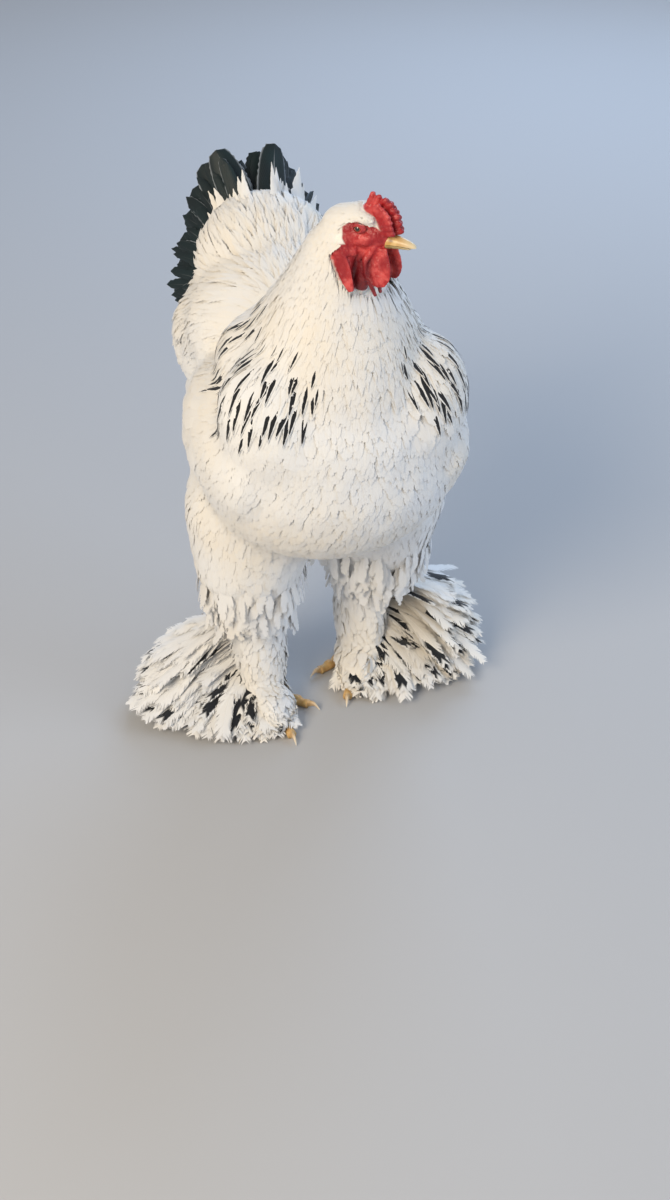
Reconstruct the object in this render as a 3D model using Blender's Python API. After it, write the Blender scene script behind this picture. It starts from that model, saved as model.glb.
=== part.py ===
"""A light brahma cock, life size, standing with its head turned to its left.

Units are metres, +Z is up, the bird faces -Y and its left side is +X. The plumage is modelled as
the outer form of the feathers: soft masses are blended into one closed body, then parted with thin
cuts where a person would name its parts. Stiff feathers, the toes and the bare parts of the head
are shapes of their own. The origin is the middle of the bounding box, on the floor.
"""

import math

import bmesh
import bpy
import numpy as np
from mathutils import Matrix, Vector

GAP = 0.0003
FLOOR_CLEARANCE = 0.0012
LEFT, RIGHT = 1, -1
SIDE_NAMES = {LEFT: "left", RIGHT: "right"}
# Edges between faces that turn by more than this are shaded sharp.
SHARP_ANGLE = math.radians(50)

# Half of the width over the folded wings, and the heights of the main landmarks.
BODY_HALF_WIDTH = 0.150
HOCK_HEIGHT = 0.140
HEAD_PLACE = Vector((0.004, -0.100, 0.628))
HEAD_TURN = math.radians(42)
HEAD_TILT = math.radians(-5)
HEAD_CUT = Vector((-0.006, -0.080, 0.588))
HEAD_CUT_NORMAL = Vector((0.12, -0.22, 0.96)).normalized()

# The middle of each foot on the floor, and how far its toes point towards the bird's left.
FOOT_PLACE = {RIGHT: Vector((-0.062, 0.026, 0)), LEFT: Vector((0.062, 0.070, 0))}
FOOT_HEADING = {RIGHT: 0.0, LEFT: math.radians(-22)}

MATERIALS = {
    "plumage": ((0.86, 0.85, 0.82), 0.80),
    "dark_plumage": ((0.020, 0.024, 0.028), 0.45),
    "red_skin": ((0.52, 0.030, 0.028), 0.50),
    "horn": ((0.78, 0.56, 0.26), 0.35),
    "scale": ((0.72, 0.47, 0.20), 0.50),
    "eye": ((0.40, 0.14, 0.03), 0.08),
}


def clear_scene():
    for old in list(bpy.data.objects):
        bpy.data.objects.remove(old)


def material(name):
    """The named Principled material, made once."""
    found = bpy.data.materials.get(name)
    if found:
        return found
    colour, roughness = MATERIALS[name]
    made = bpy.data.materials.new(name)
    made.use_nodes = True
    shader = made.node_tree.nodes["Principled BSDF"]
    shader.inputs["Base Color"].default_value = (*colour, 1)
    shader.inputs["Roughness"].default_value = roughness
    shader.inputs["Metallic"].default_value = 0
    return made


def new_object(name, mesh, finish):
    obj = bpy.data.objects.new(name, mesh)
    bpy.context.scene.collection.objects.link(obj)
    mesh.materials.clear()
    mesh.materials.append(material(finish))
    mesh.shade_smooth()
    mesh.set_sharp_from_angle(angle=SHARP_ANGLE)
    return obj


def mesh_from(bm, name):
    bmesh.ops.recalc_face_normals(bm, faces=bm.faces)
    bmesh.ops.triangulate(bm, faces=bm.faces)
    mesh = bpy.data.meshes.new(name)
    bm.to_mesh(mesh)
    bm.free()
    return mesh


def as_helper(obj):
    """Marks a cutter, which the finished model leaves out."""
    obj.hide_render = True
    obj.display_type = "WIRE"
    return obj


def evaluated_mesh(obj):
    """A plain mesh of triangles of the object with its modifiers applied, in its own space."""
    graph = bpy.context.evaluated_depsgraph_get()
    graph.update()
    mesh = bpy.data.meshes.new_from_object(obj.evaluated_get(graph))
    bm = bmesh.new()
    bm.from_mesh(mesh)
    bmesh.ops.triangulate(bm, faces=bm.faces)
    bm.to_mesh(mesh)
    bm.free()
    return mesh


def bake_modifiers(obj):
    mesh = evaluated_mesh(obj)
    obj.modifiers.clear()
    obj.data = mesh
    return obj


# Soft masses, blended like clay


def add_ball(bm, place, radii, turn=(0, 0, 0)):
    """An ellipsoid. turn is in degrees about X, Y and Z, in that order."""
    spin = Matrix.Identity(4)
    for angle, axis in zip(turn, "XYZ"):
        spin = Matrix.Rotation(math.radians(angle), 4, axis) @ spin
    stretch = Matrix.Diagonal((*radii, 1))
    matrix = Matrix.Translation(place) @ spin @ stretch
    bmesh.ops.create_icosphere(bm, subdivisions=3, radius=1, matrix=matrix)


def add_limb(bm, joints, steps=7):
    """A tapering limb through joints, each a place and a radius, as closely spaced balls."""
    for (start, start_radius), (end, end_radius) in zip(joints, joints[1:]):
        for step in range(steps + 1):
            share = step / steps
            radius = start_radius + (end_radius - start_radius) * share
            place = Vector(start).lerp(Vector(end), share)
            add_ball(bm, place, (radius, radius, radius))


def blend_clay(bm, name, voxel, smoothing, triangles):
    """One closed, smooth body around everything in bm, with about so many triangles."""
    obj = new_object(name, mesh_from(bm, name), "plumage")
    remesh = obj.modifiers.new("blend", "REMESH")
    remesh.mode = "VOXEL"
    remesh.voxel_size = voxel
    smooth = obj.modifiers.new("smooth", "SMOOTH")
    smooth.factor = 0.5
    smooth.iterations = smoothing
    dense = bake_modifiers(obj)
    dense.data.calc_loop_triangles()
    thin = obj.modifiers.new("thin_out", "DECIMATE")
    thin.ratio = min(1.0, triangles / len(dense.data.loop_triangles))
    thin.use_collapse_triangulate = True
    return bake_modifiers(obj)


MIDDLE_MASSES = [
    # place, radii and turn in degrees about X, Y and Z
    # breast, belly and back
    ((0, -0.030, 0.345), (BODY_HALF_WIDTH * 0.97, 0.118, 0.118), (8, 0, 0)),
    ((0, -0.062, 0.385), (BODY_HALF_WIDTH * 0.80, 0.086, 0.088), (-10, 0, 0)),
    ((0, 0.055, 0.335), (BODY_HALF_WIDTH * 0.94, 0.140, 0.115), (0, 0, 0)),
    ((0, 0.050, 0.265), (0.110, 0.120, 0.070), (0, 0, 0)),
    ((0, 0.150, 0.330), (0.112, 0.095, 0.105), (25, 0, 0)),
    # saddle and tail coverts
    ((0, 0.125, 0.425), (0.114, 0.105, 0.078), (28, 0, 0)),
    ((0, 0.195, 0.470), (0.086, 0.058, 0.086), (-35, 0, 0)),
    ((0, 0.225, 0.415), (0.092, 0.062, 0.074), (20, 0, 0)),
]
LEFT_MASSES = [
    # as above, for the left side; the right side mirrors them
    # the shoulder and the folded wing
    ((0.098, 0.005, 0.362), (0.052, 0.120, 0.074), (6, 0, 6)),
    # the hackle that lies over the shoulder and beside the back
    ((0.068, -0.080, 0.414), (0.066, 0.052, 0.082), (-12, 24, 0)),
    ((0.054, -0.004, 0.438), (0.060, 0.062, 0.070), (0, 30, 0)),
    # saddle feathers that droop beside the tail
    ((0.086, 0.175, 0.400), (0.032, 0.052, 0.056), (-20, 0, 0)),
]
NECK_JOINTS = [
    # place and radius from the shoulders up to the skull
    ((0, -0.028, 0.430), 0.110),
    ((0.001, -0.048, 0.490), 0.083),
    ((-0.003, -0.064, 0.545), 0.058),
    (HEAD_CUT, 0.0400),
    (HEAD_PLACE, 0.030),
]


def thigh_joints(side):
    """Place and radius from the hip down past the hock, which stands over the foot."""
    foot = FOOT_PLACE[side]
    return [
        ((side * 0.078, 0.020, 0.262), 0.074),
        ((side * 0.082, 0.55 * foot.y, 0.205), 0.064),
        ((foot.x + side * 0.014, foot.y - 0.002, HOCK_HEIGHT), 0.044),
        ((foot.x + side * 0.012, foot.y, HOCK_HEIGHT - 0.030), 0.040),
    ]


def body_clay():
    """Neck, trunk, saddle, tail coverts and thighs as one mass."""
    bm = bmesh.new()
    for place, radii, turn in MIDDLE_MASSES:
        add_ball(bm, place, radii, turn)
    for side in (LEFT, RIGHT):
        for (x, y, z), radii, (about_x, about_y, about_z) in LEFT_MASSES:
            add_ball(bm, (side * x, y, z), radii, (about_x, side * about_y, side * about_z))
        add_limb(bm, thigh_joints(side))
    add_limb(bm, NECK_JOINTS)
    return blend_clay(bm, "body_clay", voxel=0.0065, smoothing=9, triangles=1580)


# Thin cuts


def box_cutter(name, corner, opposite, turn=(0, 0, 0), pivot=(0, 0, 0)):
    """A box between two opposite corners, turned about X, Y and Z by degrees and moved to pivot."""
    bm = bmesh.new()
    low = [min(pair) for pair in zip(corner, opposite)]
    high = [max(pair) for pair in zip(corner, opposite)]
    size = Vector(high) - Vector(low)
    middle = (Vector(high) + Vector(low)) / 2
    spin = Matrix.Identity(4)
    for angle, axis in zip(turn, "XYZ"):
        spin = Matrix.Rotation(math.radians(angle), 4, axis) @ spin
    place = Matrix.Translation(pivot) @ spin @ Matrix.Translation(middle)
    bmesh.ops.create_cube(bm, size=1, matrix=place @ Matrix.Diagonal((*size, 1)))
    return as_helper(new_object(name, mesh_from(bm, name), "plumage"))


def slab_above(name, point, normal, reach=0.16, depth=0.2):
    """A box whose lower face passes through point and faces against normal."""
    normal = Vector(normal).normalized()
    spin = normal.to_track_quat("Z", "Y").to_matrix().to_4x4()
    bm = bmesh.new()
    matrix = Matrix.Translation(Vector(point) + normal * depth / 2) @ spin
    matrix = matrix @ Matrix.Diagonal((2 * reach, 2 * reach, depth, 1))
    bmesh.ops.create_cube(bm, size=1, matrix=matrix)
    return as_helper(new_object(name, mesh_from(bm, name), "plumage"))


# The folded wing: its extent along Y and Z, and where it starts from the middle of the body.
WING_FRONT, WING_BACK = -0.040, 0.180
WING_BOTTOM, WING_TOP = 0.292, 0.430
WING_INNER, WING_OUTER = 0.110, 0.230
# How much narrower the wing is at its hinder end, how far that end rises, and the outline's points.
WING_NARROWING, WING_RISE, WING_POINTS = 0.45, 0.030, 20


def wing_cutter(side):
    """The outline of a folded wing as a slab along X, round in front and pointed behind."""
    points = []
    for step in range(WING_POINTS):
        turn = 2 * math.pi * step / WING_POINTS
        along = (1 - math.cos(turn)) / 2
        height = math.sin(turn) * (1 - WING_NARROWING * along) * (WING_TOP - WING_BOTTOM) / 2
        centre = (WING_TOP + WING_BOTTOM) / 2 + WING_RISE * along
        points.append((WING_FRONT + (WING_BACK - WING_FRONT) * along, centre + height))
    bm = bmesh.new()
    rim = [bm.verts.new((side * WING_INNER, y, z)) for y, z in points]
    face = bm.faces.new(rim)
    out = bmesh.ops.extrude_face_region(bm, geom=[face])["geom"]
    moved = [v for v in out if isinstance(v, bmesh.types.BMVert)]
    bmesh.ops.translate(bm, verts=moved, vec=(side * (WING_OUTER - WING_INNER), 0, 0))
    name = f"wing_cutter_{SIDE_NAMES[side]}"
    return as_helper(new_object(name, mesh_from(bm, name), "plumage"))


def grown(obj, distance):
    """A helper copy of obj, larger all round by distance."""
    copy = new_object(f"{obj.name}_grown", evaluated_mesh(obj), "plumage")
    swell = copy.modifiers.new("swell", "DISPLACE")
    swell.strength = distance
    swell.mid_level = 0
    return as_helper(bake_modifiers(copy))


def boolean(obj, operation, cutter):
    step = obj.modifiers.new(operation.lower(), "BOOLEAN")
    step.operation = operation
    step.object = cutter
    return obj


def largest_piece(obj):
    """Keeps the largest of the separate bodies of obj, as a thin cut can leave crumbs."""
    bm = bmesh.new()
    bm.from_mesh(obj.data)
    loose, groups = set(bm.verts), []
    while loose:
        reached, edge = set(), [loose.pop()]
        while edge:
            vertex = edge.pop()
            reached.add(vertex)
            near = {link.other_vert(vertex) for link in vertex.link_edges} & loose
            loose -= near
            edge.extend(near)
        groups.append(reached)
    keep = max(groups, key=len)
    crumbs = [vertex for vertex in bm.verts if vertex not in keep]
    bmesh.ops.delete(bm, geom=crumbs, context="VERTS")
    bm.to_mesh(obj.data)
    bm.free()
    return obj


def part_off(rest, name, cutter, finish="plumage"):
    """Takes what lies inside cutter away from rest, as a named part with a thin gap round it."""
    piece = new_object(name, rest.data.copy(), finish)
    boolean(piece, "INTERSECT", cutter)
    bake_modifiers(piece)
    wider = grown(cutter, GAP)
    boolean(rest, "DIFFERENCE", wider)
    bake_modifiers(rest)
    largest_piece(piece)
    return piece


def cut_clear(obj, others):
    """Cuts each of others, grown by the gap, out of obj."""
    for other in others:
        boolean(obj, "DIFFERENCE", grown(other, GAP))
        bake_modifiers(obj)
    return largest_piece(obj)


# Lofted pieces


def oval_ring(centre, across, upward, half_width, half_height, sides, flat_below=None):
    """Points round an oval. flat_below is a height under which the ring is pressed flat."""
    ring = []
    for step in range(sides):
        turn = 2 * math.pi * step / sides
        point = centre + across * (half_width * math.cos(turn))
        point = point + upward * (half_height * math.sin(turn))
        if flat_below is not None:
            point.z = max(point.z, flat_below)
        ring.append(point)
    return ring


def loft(name, rings, finish, matrix=None):
    """A closed solid through rings of equal length, its ends closed by flat faces."""
    bm = bmesh.new()
    rows = [[bm.verts.new(point) for point in ring] for ring in rings]
    for row, following in zip(rows, rows[1:]):
        for index in range(len(row)):
            after = (index + 1) % len(row)
            bm.faces.new((row[index], row[after], following[after], following[index]))
    bm.faces.new(list(reversed(rows[0])))
    bm.faces.new(rows[-1])
    if matrix is not None:
        bmesh.ops.transform(bm, matrix=matrix, verts=bm.verts)
    return new_object(name, mesh_from(bm, name), finish)


def curve_point(root, bend, tip, share):
    """A point on the quadratic curve from root to tip that leans towards bend."""
    return root.lerp(bend, share).lerp(bend.lerp(tip, share), share)


def blade_rings(root, bend, tip, width, thickness, facing, steps=7):
    """Rings of a flat, round-ended feather that bends from root to tip.

    facing is the way that its face looks.
    """
    rings = []
    for step in range(steps + 1):
        share = step / steps
        at = curve_point(root, bend, tip, share)
        ahead = curve_point(root, bend, tip, min(1, share + 0.02))
        behind = curve_point(root, bend, tip, max(0, share - 0.02))
        along = (ahead - behind).normalized()
        across = along.cross(facing).normalized()
        normal = across.cross(along).normalized()
        swell = (0.55 + 0.45 * min(1, 2 * share)) * math.sqrt(1 - 0.97 * share**4)
        half_width = width / 2 * swell
        half_height = thickness / 2 * (1 - 0.45 * share)
        rings.append(oval_ring(at, across, normal, half_width, half_height, 6))
    return rings


# Feet


def foot_point(side, outward, forward, up):
    """A point given from the middle of a foot, along the way that its toes point."""
    spin = Matrix.Rotation(FOOT_HEADING[side], 3, "Z")
    return FOOT_PLACE[side] + spin @ Vector((side * outward, -forward, up))


TOES = {
    # angle outwards from the foot's heading, start and end from its middle, radius at the root
    "inner": (-42, 0.030, 0.074, 0.0080),
    "middle": (-1, 0.030, 0.112, 0.0085),
    "outer": (34, 0.030, 0.106, 0.0078),
    "hind": (-168, 0.012, 0.046, 0.0070),
}
CLAW_LENGTH = 0.017
# How high the claws stay over the floor.
CLAW_CLEARANCE = 0.0004
KNUCKLES, TOE_STEPS, CLAW_STEPS, TOE_SIDES = 3, 5, 4, 6


def toe(side, which):
    """A toe with its pads flat on the floor, and its claw."""
    degrees, start, length, radius = TOES[which]
    angle = math.radians(degrees)
    outward, forward = math.sin(angle), math.cos(angle)
    bare = length - CLAW_LENGTH
    across = foot_point(side, forward, -outward, 0) - foot_point(side, 0, 0, 0)
    upward = Vector((0, 0, 1))
    rings = []
    for step in range(TOE_STEPS + 1):
        share = step / TOE_STEPS
        reach = start + (bare - start) * share
        lump = 1 + 0.10 * math.cos(2 * math.pi * KNUCKLES * share)
        size = radius * (1 - 0.32 * share) * lump
        centre = foot_point(side, outward * reach, forward * reach, size * 0.86)
        rings.append(oval_ring(centre, across, upward, size, size, TOE_SIDES, flat_below=0.0))
    name = f"toe_{which}_{SIDE_NAMES[side]}"
    digit = loft(name, rings, "scale")
    claw_rings = []
    end_size = radius * 0.66
    for step in range(CLAW_STEPS + 1):
        share = step / CLAW_STEPS
        reach = bare + GAP + CLAW_LENGTH * share
        size = end_size * (1 - share) ** 0.8 + 0.0004
        drop = 0.0042 * math.sin(math.pi * min(1, share * 0.9)) ** 2
        height = end_size * 0.95 * (1 - share) + drop + 0.0014
        centre = foot_point(side, outward * reach, forward * reach, height)
        ring = oval_ring(centre, across, upward, size * 0.62, size, TOE_SIDES, CLAW_CLEARANCE)
        claw_rings.append(ring)
    claw = loft(f"claw_{which}_{SIDE_NAMES[side]}", claw_rings, "horn")
    return digit, claw


FOOT_FANS = {
    # first and last angle from outwards towards the front, root height, reach, tip height, count;
    # the upper feathers of the left foot stand out higher than those of the right
    RIGHT: [
        (-38, 0, 0.108, 0.132, 0.060, 4),
        (-30, 4, 0.080, 0.164, 0.022, 4),
        (-12, 16, 0.048, 0.168, 0.010, 4),
        (18, 56, 0.034, 0.110, 0.007, 4),
        (58, 94, 0.030, 0.100, 0.009, 4),
    ],
    LEFT: [
        (-26, 16, 0.112, 0.142, 0.086, 4),
        (-14, 10, 0.076, 0.168, 0.020, 4),
        (4, 28, 0.048, 0.146, 0.009, 4),
        (28, 62, 0.034, 0.112, 0.007, 4),
        (62, 94, 0.030, 0.099, 0.009, 4),
    ],
}
# Width and thickness of one stiff foot feather, and how far from the foot's middle it starts.
FAN_WIDTH, FAN_THICKNESS, FAN_START = 0.038, 0.011, 0.012
SHANK_JOINTS = [
    # place from the foot's middle (outwards, forwards, up) and radius, from the hock down
    ((0.014, -0.002, HOCK_HEIGHT + 0.030), 0.040),
    ((0.013, 0, 0.105), 0.036),
    ((0.014, 0.004, 0.062), 0.037),
    ((0.014, 0.014, 0.036), 0.031),
]
# The soft feathers over the toes, and the middle of the foot under them: place and radii.
INSTEP = ((0.020, 0.032, 0.024), (0.040, 0.052, 0.018))
SOLE = ((0.006, -0.006, 0.018), (0.024, 0.030, 0.016))


def foot_clay(side):
    """The feathered shank with its fans of stiff foot feathers, as one mass."""
    bm = bmesh.new()
    add_limb(bm, [(foot_point(side, *place), radius) for place, radius in SHANK_JOINTS])
    for place, radii in (INSTEP, SOLE):
        add_ball(bm, foot_point(side, *place), radii)
    for first, last, root_height, reach, tip_height, count in FOOT_FANS[side]:
        for index in range(count):
            share = index / (count - 1)
            angle = math.radians(first + (last - first) * share)
            outward, forward = math.cos(angle), math.sin(angle)
            length = reach * (1 - 0.10 * abs(2 * share - 1) - 0.05 * (index % 2))
            root = foot_point(side, outward * FAN_START, forward * FAN_START, root_height)
            bend = foot_point(side, outward * length * 0.5, forward * length * 0.5, root_height)
            tip = foot_point(side, outward * length, forward * length, tip_height)
            facing = Vector((0, 0, 1))
            rings = blade_rings(root, bend, tip, FAN_WIDTH, FAN_THICKNESS, facing, 6)
            blade = loft("blade", rings, "plumage")
            bm.from_mesh(blade.data)
            bpy.data.objects.remove(blade)
    name = f"foot_clay_{SIDE_NAMES[side]}"
    clay = blend_clay(bm, name, voxel=0.0036, smoothing=3, triangles=590)
    floor = box_cutter("floor", (-0.4, -0.4, -0.1), (0.4, 0.4, FLOOR_CLEARANCE))
    boolean(clay, "DIFFERENCE", floor)
    return bake_modifiers(clay)


def feet(side):
    """The shank, the foot's feathers, the toes and the claws of one foot."""
    clay = foot_clay(side)
    digits = [toe(side, which) for which in TOES]
    above = slab_above("above_hock", (0, 0, HOCK_HEIGHT - GAP / 2), (0, 0, 1), reach=0.4)
    boolean(clay, "DIFFERENCE", above)
    bake_modifiers(clay)
    cut_clear(clay, [piece for pair in digits for piece in pair])
    # The stiff feathers stand out past an upright cut on the outer side of the shank.
    start = foot_point(side, 0.041, 0, 0.06)
    outward = foot_point(side, 1, 0.25, 0) - foot_point(side, 0, 0, 0)
    cutter = slab_above(f"outer_{SIDE_NAMES[side]}", start, outward, reach=0.3, depth=0.3)
    part_off(clay, f"foot_feathers_{SIDE_NAMES[side]}", cutter)
    clay.name = f"shank_{SIDE_NAMES[side]}"
    return clay


# Head. Its pieces are made facing -Y round the middle of the skull, then turned into place.


def head_matrix():
    turn = Matrix.Rotation(HEAD_TURN, 4, "Z") @ Matrix.Rotation(HEAD_TILT, 4, "X")
    return Matrix.Translation(HEAD_PLACE) @ turn


EYE_PLACE = Vector((0.0172, -0.0125, 0.0045))
EYE_RADIUS = 0.0056


def eye(side):
    bm = bmesh.new()
    place = Vector((side * EYE_PLACE.x, EYE_PLACE.y, EYE_PLACE.z))
    matrix = head_matrix() @ Matrix.Translation(place)
    bmesh.ops.create_icosphere(bm, subdivisions=2, radius=EYE_RADIUS, matrix=matrix)
    name = f"eye_{SIDE_NAMES[side]}"
    return new_object(name, mesh_from(bm, name), "eye")


# Each half of the beak: root and tip along Y, height of its root, drop of its tip, root width and
# depth.
UPPER_BEAK = (-0.034, -0.0640, -0.0138, 0.0032, 0.0082, 0.0100)
LOWER_BEAK = (-0.033, -0.0585, -0.0145, 0.0032, 0.0070, 0.0056)


def beak_rings(half, root_y, tip_y, root_z, drop, root_width, root_depth):
    """Rings of one half of the beak. half is 1 for the upper and -1 for the lower."""
    rings = []
    steps = 5
    for step in range(steps + 1):
        share = step / steps
        y = root_y + (tip_y - root_y) * share
        taper = (1 - share) ** 0.45 * 0.90 + 0.10
        z = root_z - drop * share**2.0
        ring = []
        width, depth = root_width * taper, root_depth * taper
        for index in range(6):
            turn = math.pi * index / 5
            arch = math.sin(turn) ** 0.8 * depth * half
            ring.append(Vector((width * math.cos(turn), y, z + arch)))
        for index in (0.5, 0, -0.5):
            ring.append(Vector((-width * 0.6 * index * 2, y, z + half * GAP / 2)))
        rings.append(ring)
    return rings


def beak():
    place = head_matrix()
    upper = beak_rings(1, *UPPER_BEAK)
    lower = beak_rings(-1, *LOWER_BEAK)
    return [
        loft("beak_upper", upper, "horn", place),
        loft("beak_lower", lower, "horn", place),
    ]


COMB_ROWS = [
    # offset to the side, share of the full height, number of points, lean outwards
    (0.0, 1.0, 6, 0.0),
    (0.0068, 0.62, 5, 0.30),
    (-0.0068, 0.62, 5, -0.30),
]
COMB_FRONT, COMB_BACK = Vector((0, -0.0370, -0.0025)), Vector((0, -0.0160, 0.0225))
COMB_HEIGHT = 0.0130
# How far the forehead under the comb bulges.
COMB_BULGE = Vector((0, -0.0040, 0.0040))


def comb():
    """A pea comb: three rows of blunt points up the forehead, the middle one tallest."""
    bm = bmesh.new()
    for offset, height, count, lean in COMB_ROWS:
        for index in range(count):
            share = index / (count - 1)
            base = COMB_FRONT.lerp(COMB_BACK, share) + COMB_BULGE * math.sin(math.pi * share)
            base.x = offset
            rise = math.radians(4 + 62 * share)
            way = Vector((lean, -math.cos(rise), math.sin(rise))).normalized()
            reach = COMB_HEIGHT * height * (0.70 + 0.30 * math.sin(math.pi * (0.1 + 0.8 * share)))
            wide = 0.0040 if offset else 0.0046
            add_limb(bm, [(base - way * 0.005, wide * 1.05), (base + way * reach, wide * 0.78)], 4)
    clay = blend_clay(bm, "comb", voxel=0.0016, smoothing=2, triangles=270)
    clay.data.materials[0] = material("red_skin")
    clay.data.transform(head_matrix())
    return clay


# The hanging lobes of the left side: the middle of the top and of the lower end, half of the
# width and of the thickness.
WATTLE_TOP, WATTLE_END = Vector((0.0090, -0.0290, -0.0180)), Vector((0.0130, -0.0260, -0.0570))
WATTLE_HALF_WIDTH, WATTLE_HALF_THICKNESS = 0.0112, 0.0036
LOBE_TOP, LOBE_END = Vector((0.0268, 0.0080, -0.0140)), Vector((0.0258, -0.0040, -0.0600))
LOBE_HALF_WIDTH, LOBE_HALF_THICKNESS = 0.0100, 0.0046
LOBE_STEPS, LOBE_SIDES = 6, 8


def hanging_rings(side, top, end, across, upward, half_width, half_thickness, ends, roundness):
    """Rings of a hanging lobe. ends gives the half turns at which its outline starts and stops."""
    rings = []
    for step in range(LOBE_STEPS + 1):
        share = step / LOBE_STEPS
        turn = math.pi * (ends[0] + (ends[1] - ends[0]) * share)
        centre = top.lerp(end, share)
        centre.x *= side
        wide = half_width * math.sin(turn) ** roundness
        rings.append(oval_ring(centre, across, upward, wide, half_thickness, LOBE_SIDES))
    return rings


def wattle(side):
    """A rounded lobe of skin that hangs from beside the lower half of the beak."""
    across, upward = Vector((0, 1, 0)), Vector((side, 0, 0))
    rings = hanging_rings(side, WATTLE_TOP, WATTLE_END, across, upward, WATTLE_HALF_WIDTH,
                          WATTLE_HALF_THICKNESS, ends=(0.12, 0.96), roundness=0.62)
    return loft(f"wattle_{SIDE_NAMES[side]}", rings, "red_skin", head_matrix())


def ear_lobe(side):
    """The long red lobe below the ear."""
    across, upward = Vector((0, 1, -0.2)).normalized(), Vector((side, 0.12, 0))
    rings = hanging_rings(side, LOBE_TOP, LOBE_END, across, upward, LOBE_HALF_WIDTH,
                          LOBE_HALF_THICKNESS, ends=(0.14, 0.94), roundness=0.7)
    return loft(f"ear_lobe_{SIDE_NAMES[side]}", rings, "red_skin", head_matrix())


THROAT_PLACE, THROAT_RADII = (0, -0.030, -0.046), (0.0270, 0.0330, 0.0260)


def throat():
    """A helper: the hollow under the beak, between the ear lobes, that the feathers leave bare."""
    bm = bmesh.new()
    place = head_matrix() @ Matrix.Translation(THROAT_PLACE)
    place = place @ Matrix.Diagonal((*THROAT_RADII, 1))
    bmesh.ops.create_icosphere(bm, subdivisions=2, radius=1, matrix=place)
    return as_helper(new_object("throat", mesh_from(bm, "throat"), "plumage"))


SKULL_MASSES = [
    # place and radii: crown, face, root of the beak, forehead, nape and jaw
    ((0, 0.008, -0.001), (0.0235, 0.0300, 0.0225)),
    ((0, -0.014, -0.008), (0.0175, 0.0240, 0.0180)),
    ((0, -0.027, -0.009), (0.0115, 0.0130, 0.0115)),
    ((0, -0.009, 0.010), (0.0180, 0.0250, 0.0150)),
    ((0, 0.022, -0.020), (0.0255, 0.0260, 0.0280)),
    ((0, -0.008, -0.024), (0.0150, 0.0200, 0.0180)),
]
# The brow over the left eye and the cheek under it; the right side mirrors them.
BROW = ((0.0150, -0.0140, 0.0120), (0.0062, 0.0150, 0.0048))
CHEEK = ((0.0145, -0.0120, -0.0080), (0.0066, 0.0150, 0.0080))
UPPER_NECK_JOINTS = [
    (HEAD_CUT - HEAD_CUT_NORMAL * 0.02, 0.0430),
    (HEAD_CUT, 0.0400),
    (HEAD_PLACE + Vector((-0.006, 0.010, -0.012)), 0.027),
]


def head(clear_of):
    """The skull with its brows, cheeks and throat, down to the cut through the neck."""
    bm = bmesh.new()
    for place, radii in SKULL_MASSES:
        add_ball(bm, place, radii)
    for side in (LEFT, RIGHT):
        for (x, y, z), radii in (BROW, CHEEK):
            add_ball(bm, (side * x, y, z), radii)
    bmesh.ops.transform(bm, matrix=head_matrix(), verts=bm.verts)
    add_limb(bm, UPPER_NECK_JOINTS)
    clay = blend_clay(bm, "head", voxel=0.0026, smoothing=4, triangles=460)
    below = slab_above("below_head", HEAD_CUT, -HEAD_CUT_NORMAL, reach=0.1, depth=0.1)
    boolean(clay, "DIFFERENCE", grown(below, GAP / 2))
    bake_modifiers(clay)
    return cut_clear(clay, clear_of)


# Tail

TAIL_ROOT = Vector((0, 0.165, 0.415))
TAIL_FEATHERS = {
    # spread to the side, rise, in degrees, length and width; the last ones droop lowest, and the
    # left half is spread wider than the right
    RIGHT: [
        (4, 62, 0.196, 0.046),
        (9, 54, 0.188, 0.048),
        (12, 45, 0.172, 0.048),
        (15, 36, 0.156, 0.046),
        (18, 27, 0.142, 0.044),
        (21, 17, 0.128, 0.042),
        (25, 7, 0.118, 0.040),
    ],
    LEFT: [
        (4, 62, 0.196, 0.046),
        (10, 53, 0.192, 0.048),
        (17, 44, 0.184, 0.048),
        (23, 34, 0.172, 0.046),
        (27, 24, 0.156, 0.044),
        (30, 14, 0.140, 0.044),
        (32, 5, 0.126, 0.042),
    ],
}
TAIL_THICKNESS = 0.010
# How far each tip is bent, and the way that the faces of the highest and the lowest feather look;
# all for the left side.
TAIL_CURL = Vector((0.018, 0.012, -0.026))
TOP_FACING, LOW_FACING = Vector((0.3, -0.8, 0.5)), Vector((0.95, -0.35, 0.1))


def sideways(vector, side):
    """vector as it is on the left side, mirrored for the right."""
    return Vector((side * vector.x, vector.y, vector.z))


def tail_half(side, body):
    """Half of the spread tail, whose feathers overlap and curl out and down at the tips."""
    bm = bmesh.new()
    for index, (spread, rise, length, width) in enumerate(TAIL_FEATHERS[side]):
        turn, lift = math.radians(spread), math.radians(rise)
        way = Vector((side * math.sin(turn) * math.cos(lift), math.cos(turn) * math.cos(lift),
                      math.sin(lift)))
        root = TAIL_ROOT + Vector((side * 0.010, 0, 0)) + way * 0.02
        bend = root + way * length * 0.55
        tip = root + way * length + sideways(TAIL_CURL, side)
        facing = sideways(TOP_FACING.lerp(LOW_FACING, index / (len(TAIL_FEATHERS[side]) - 1)), side)
        rings = blade_rings(root, bend, tip, width, TAIL_THICKNESS, facing, 8)
        blade = loft("blade", rings, "dark_plumage")
        bm.from_mesh(blade.data)
        bpy.data.objects.remove(blade)
    name = f"tail_{SIDE_NAMES[side]}"
    clay = blend_clay(bm, name, voxel=0.0036, smoothing=2, triangles=460)
    clay.data.materials[0] = material("dark_plumage")
    inner = box_cutter(f"middle_{name}", (-side * 0.3, -0.1, 0), (side * GAP, 0.6, 0.9))
    boolean(clay, "DIFFERENCE", inner)
    bake_modifiers(clay)
    return cut_clear(clay, [body])


# Whole bird


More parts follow.
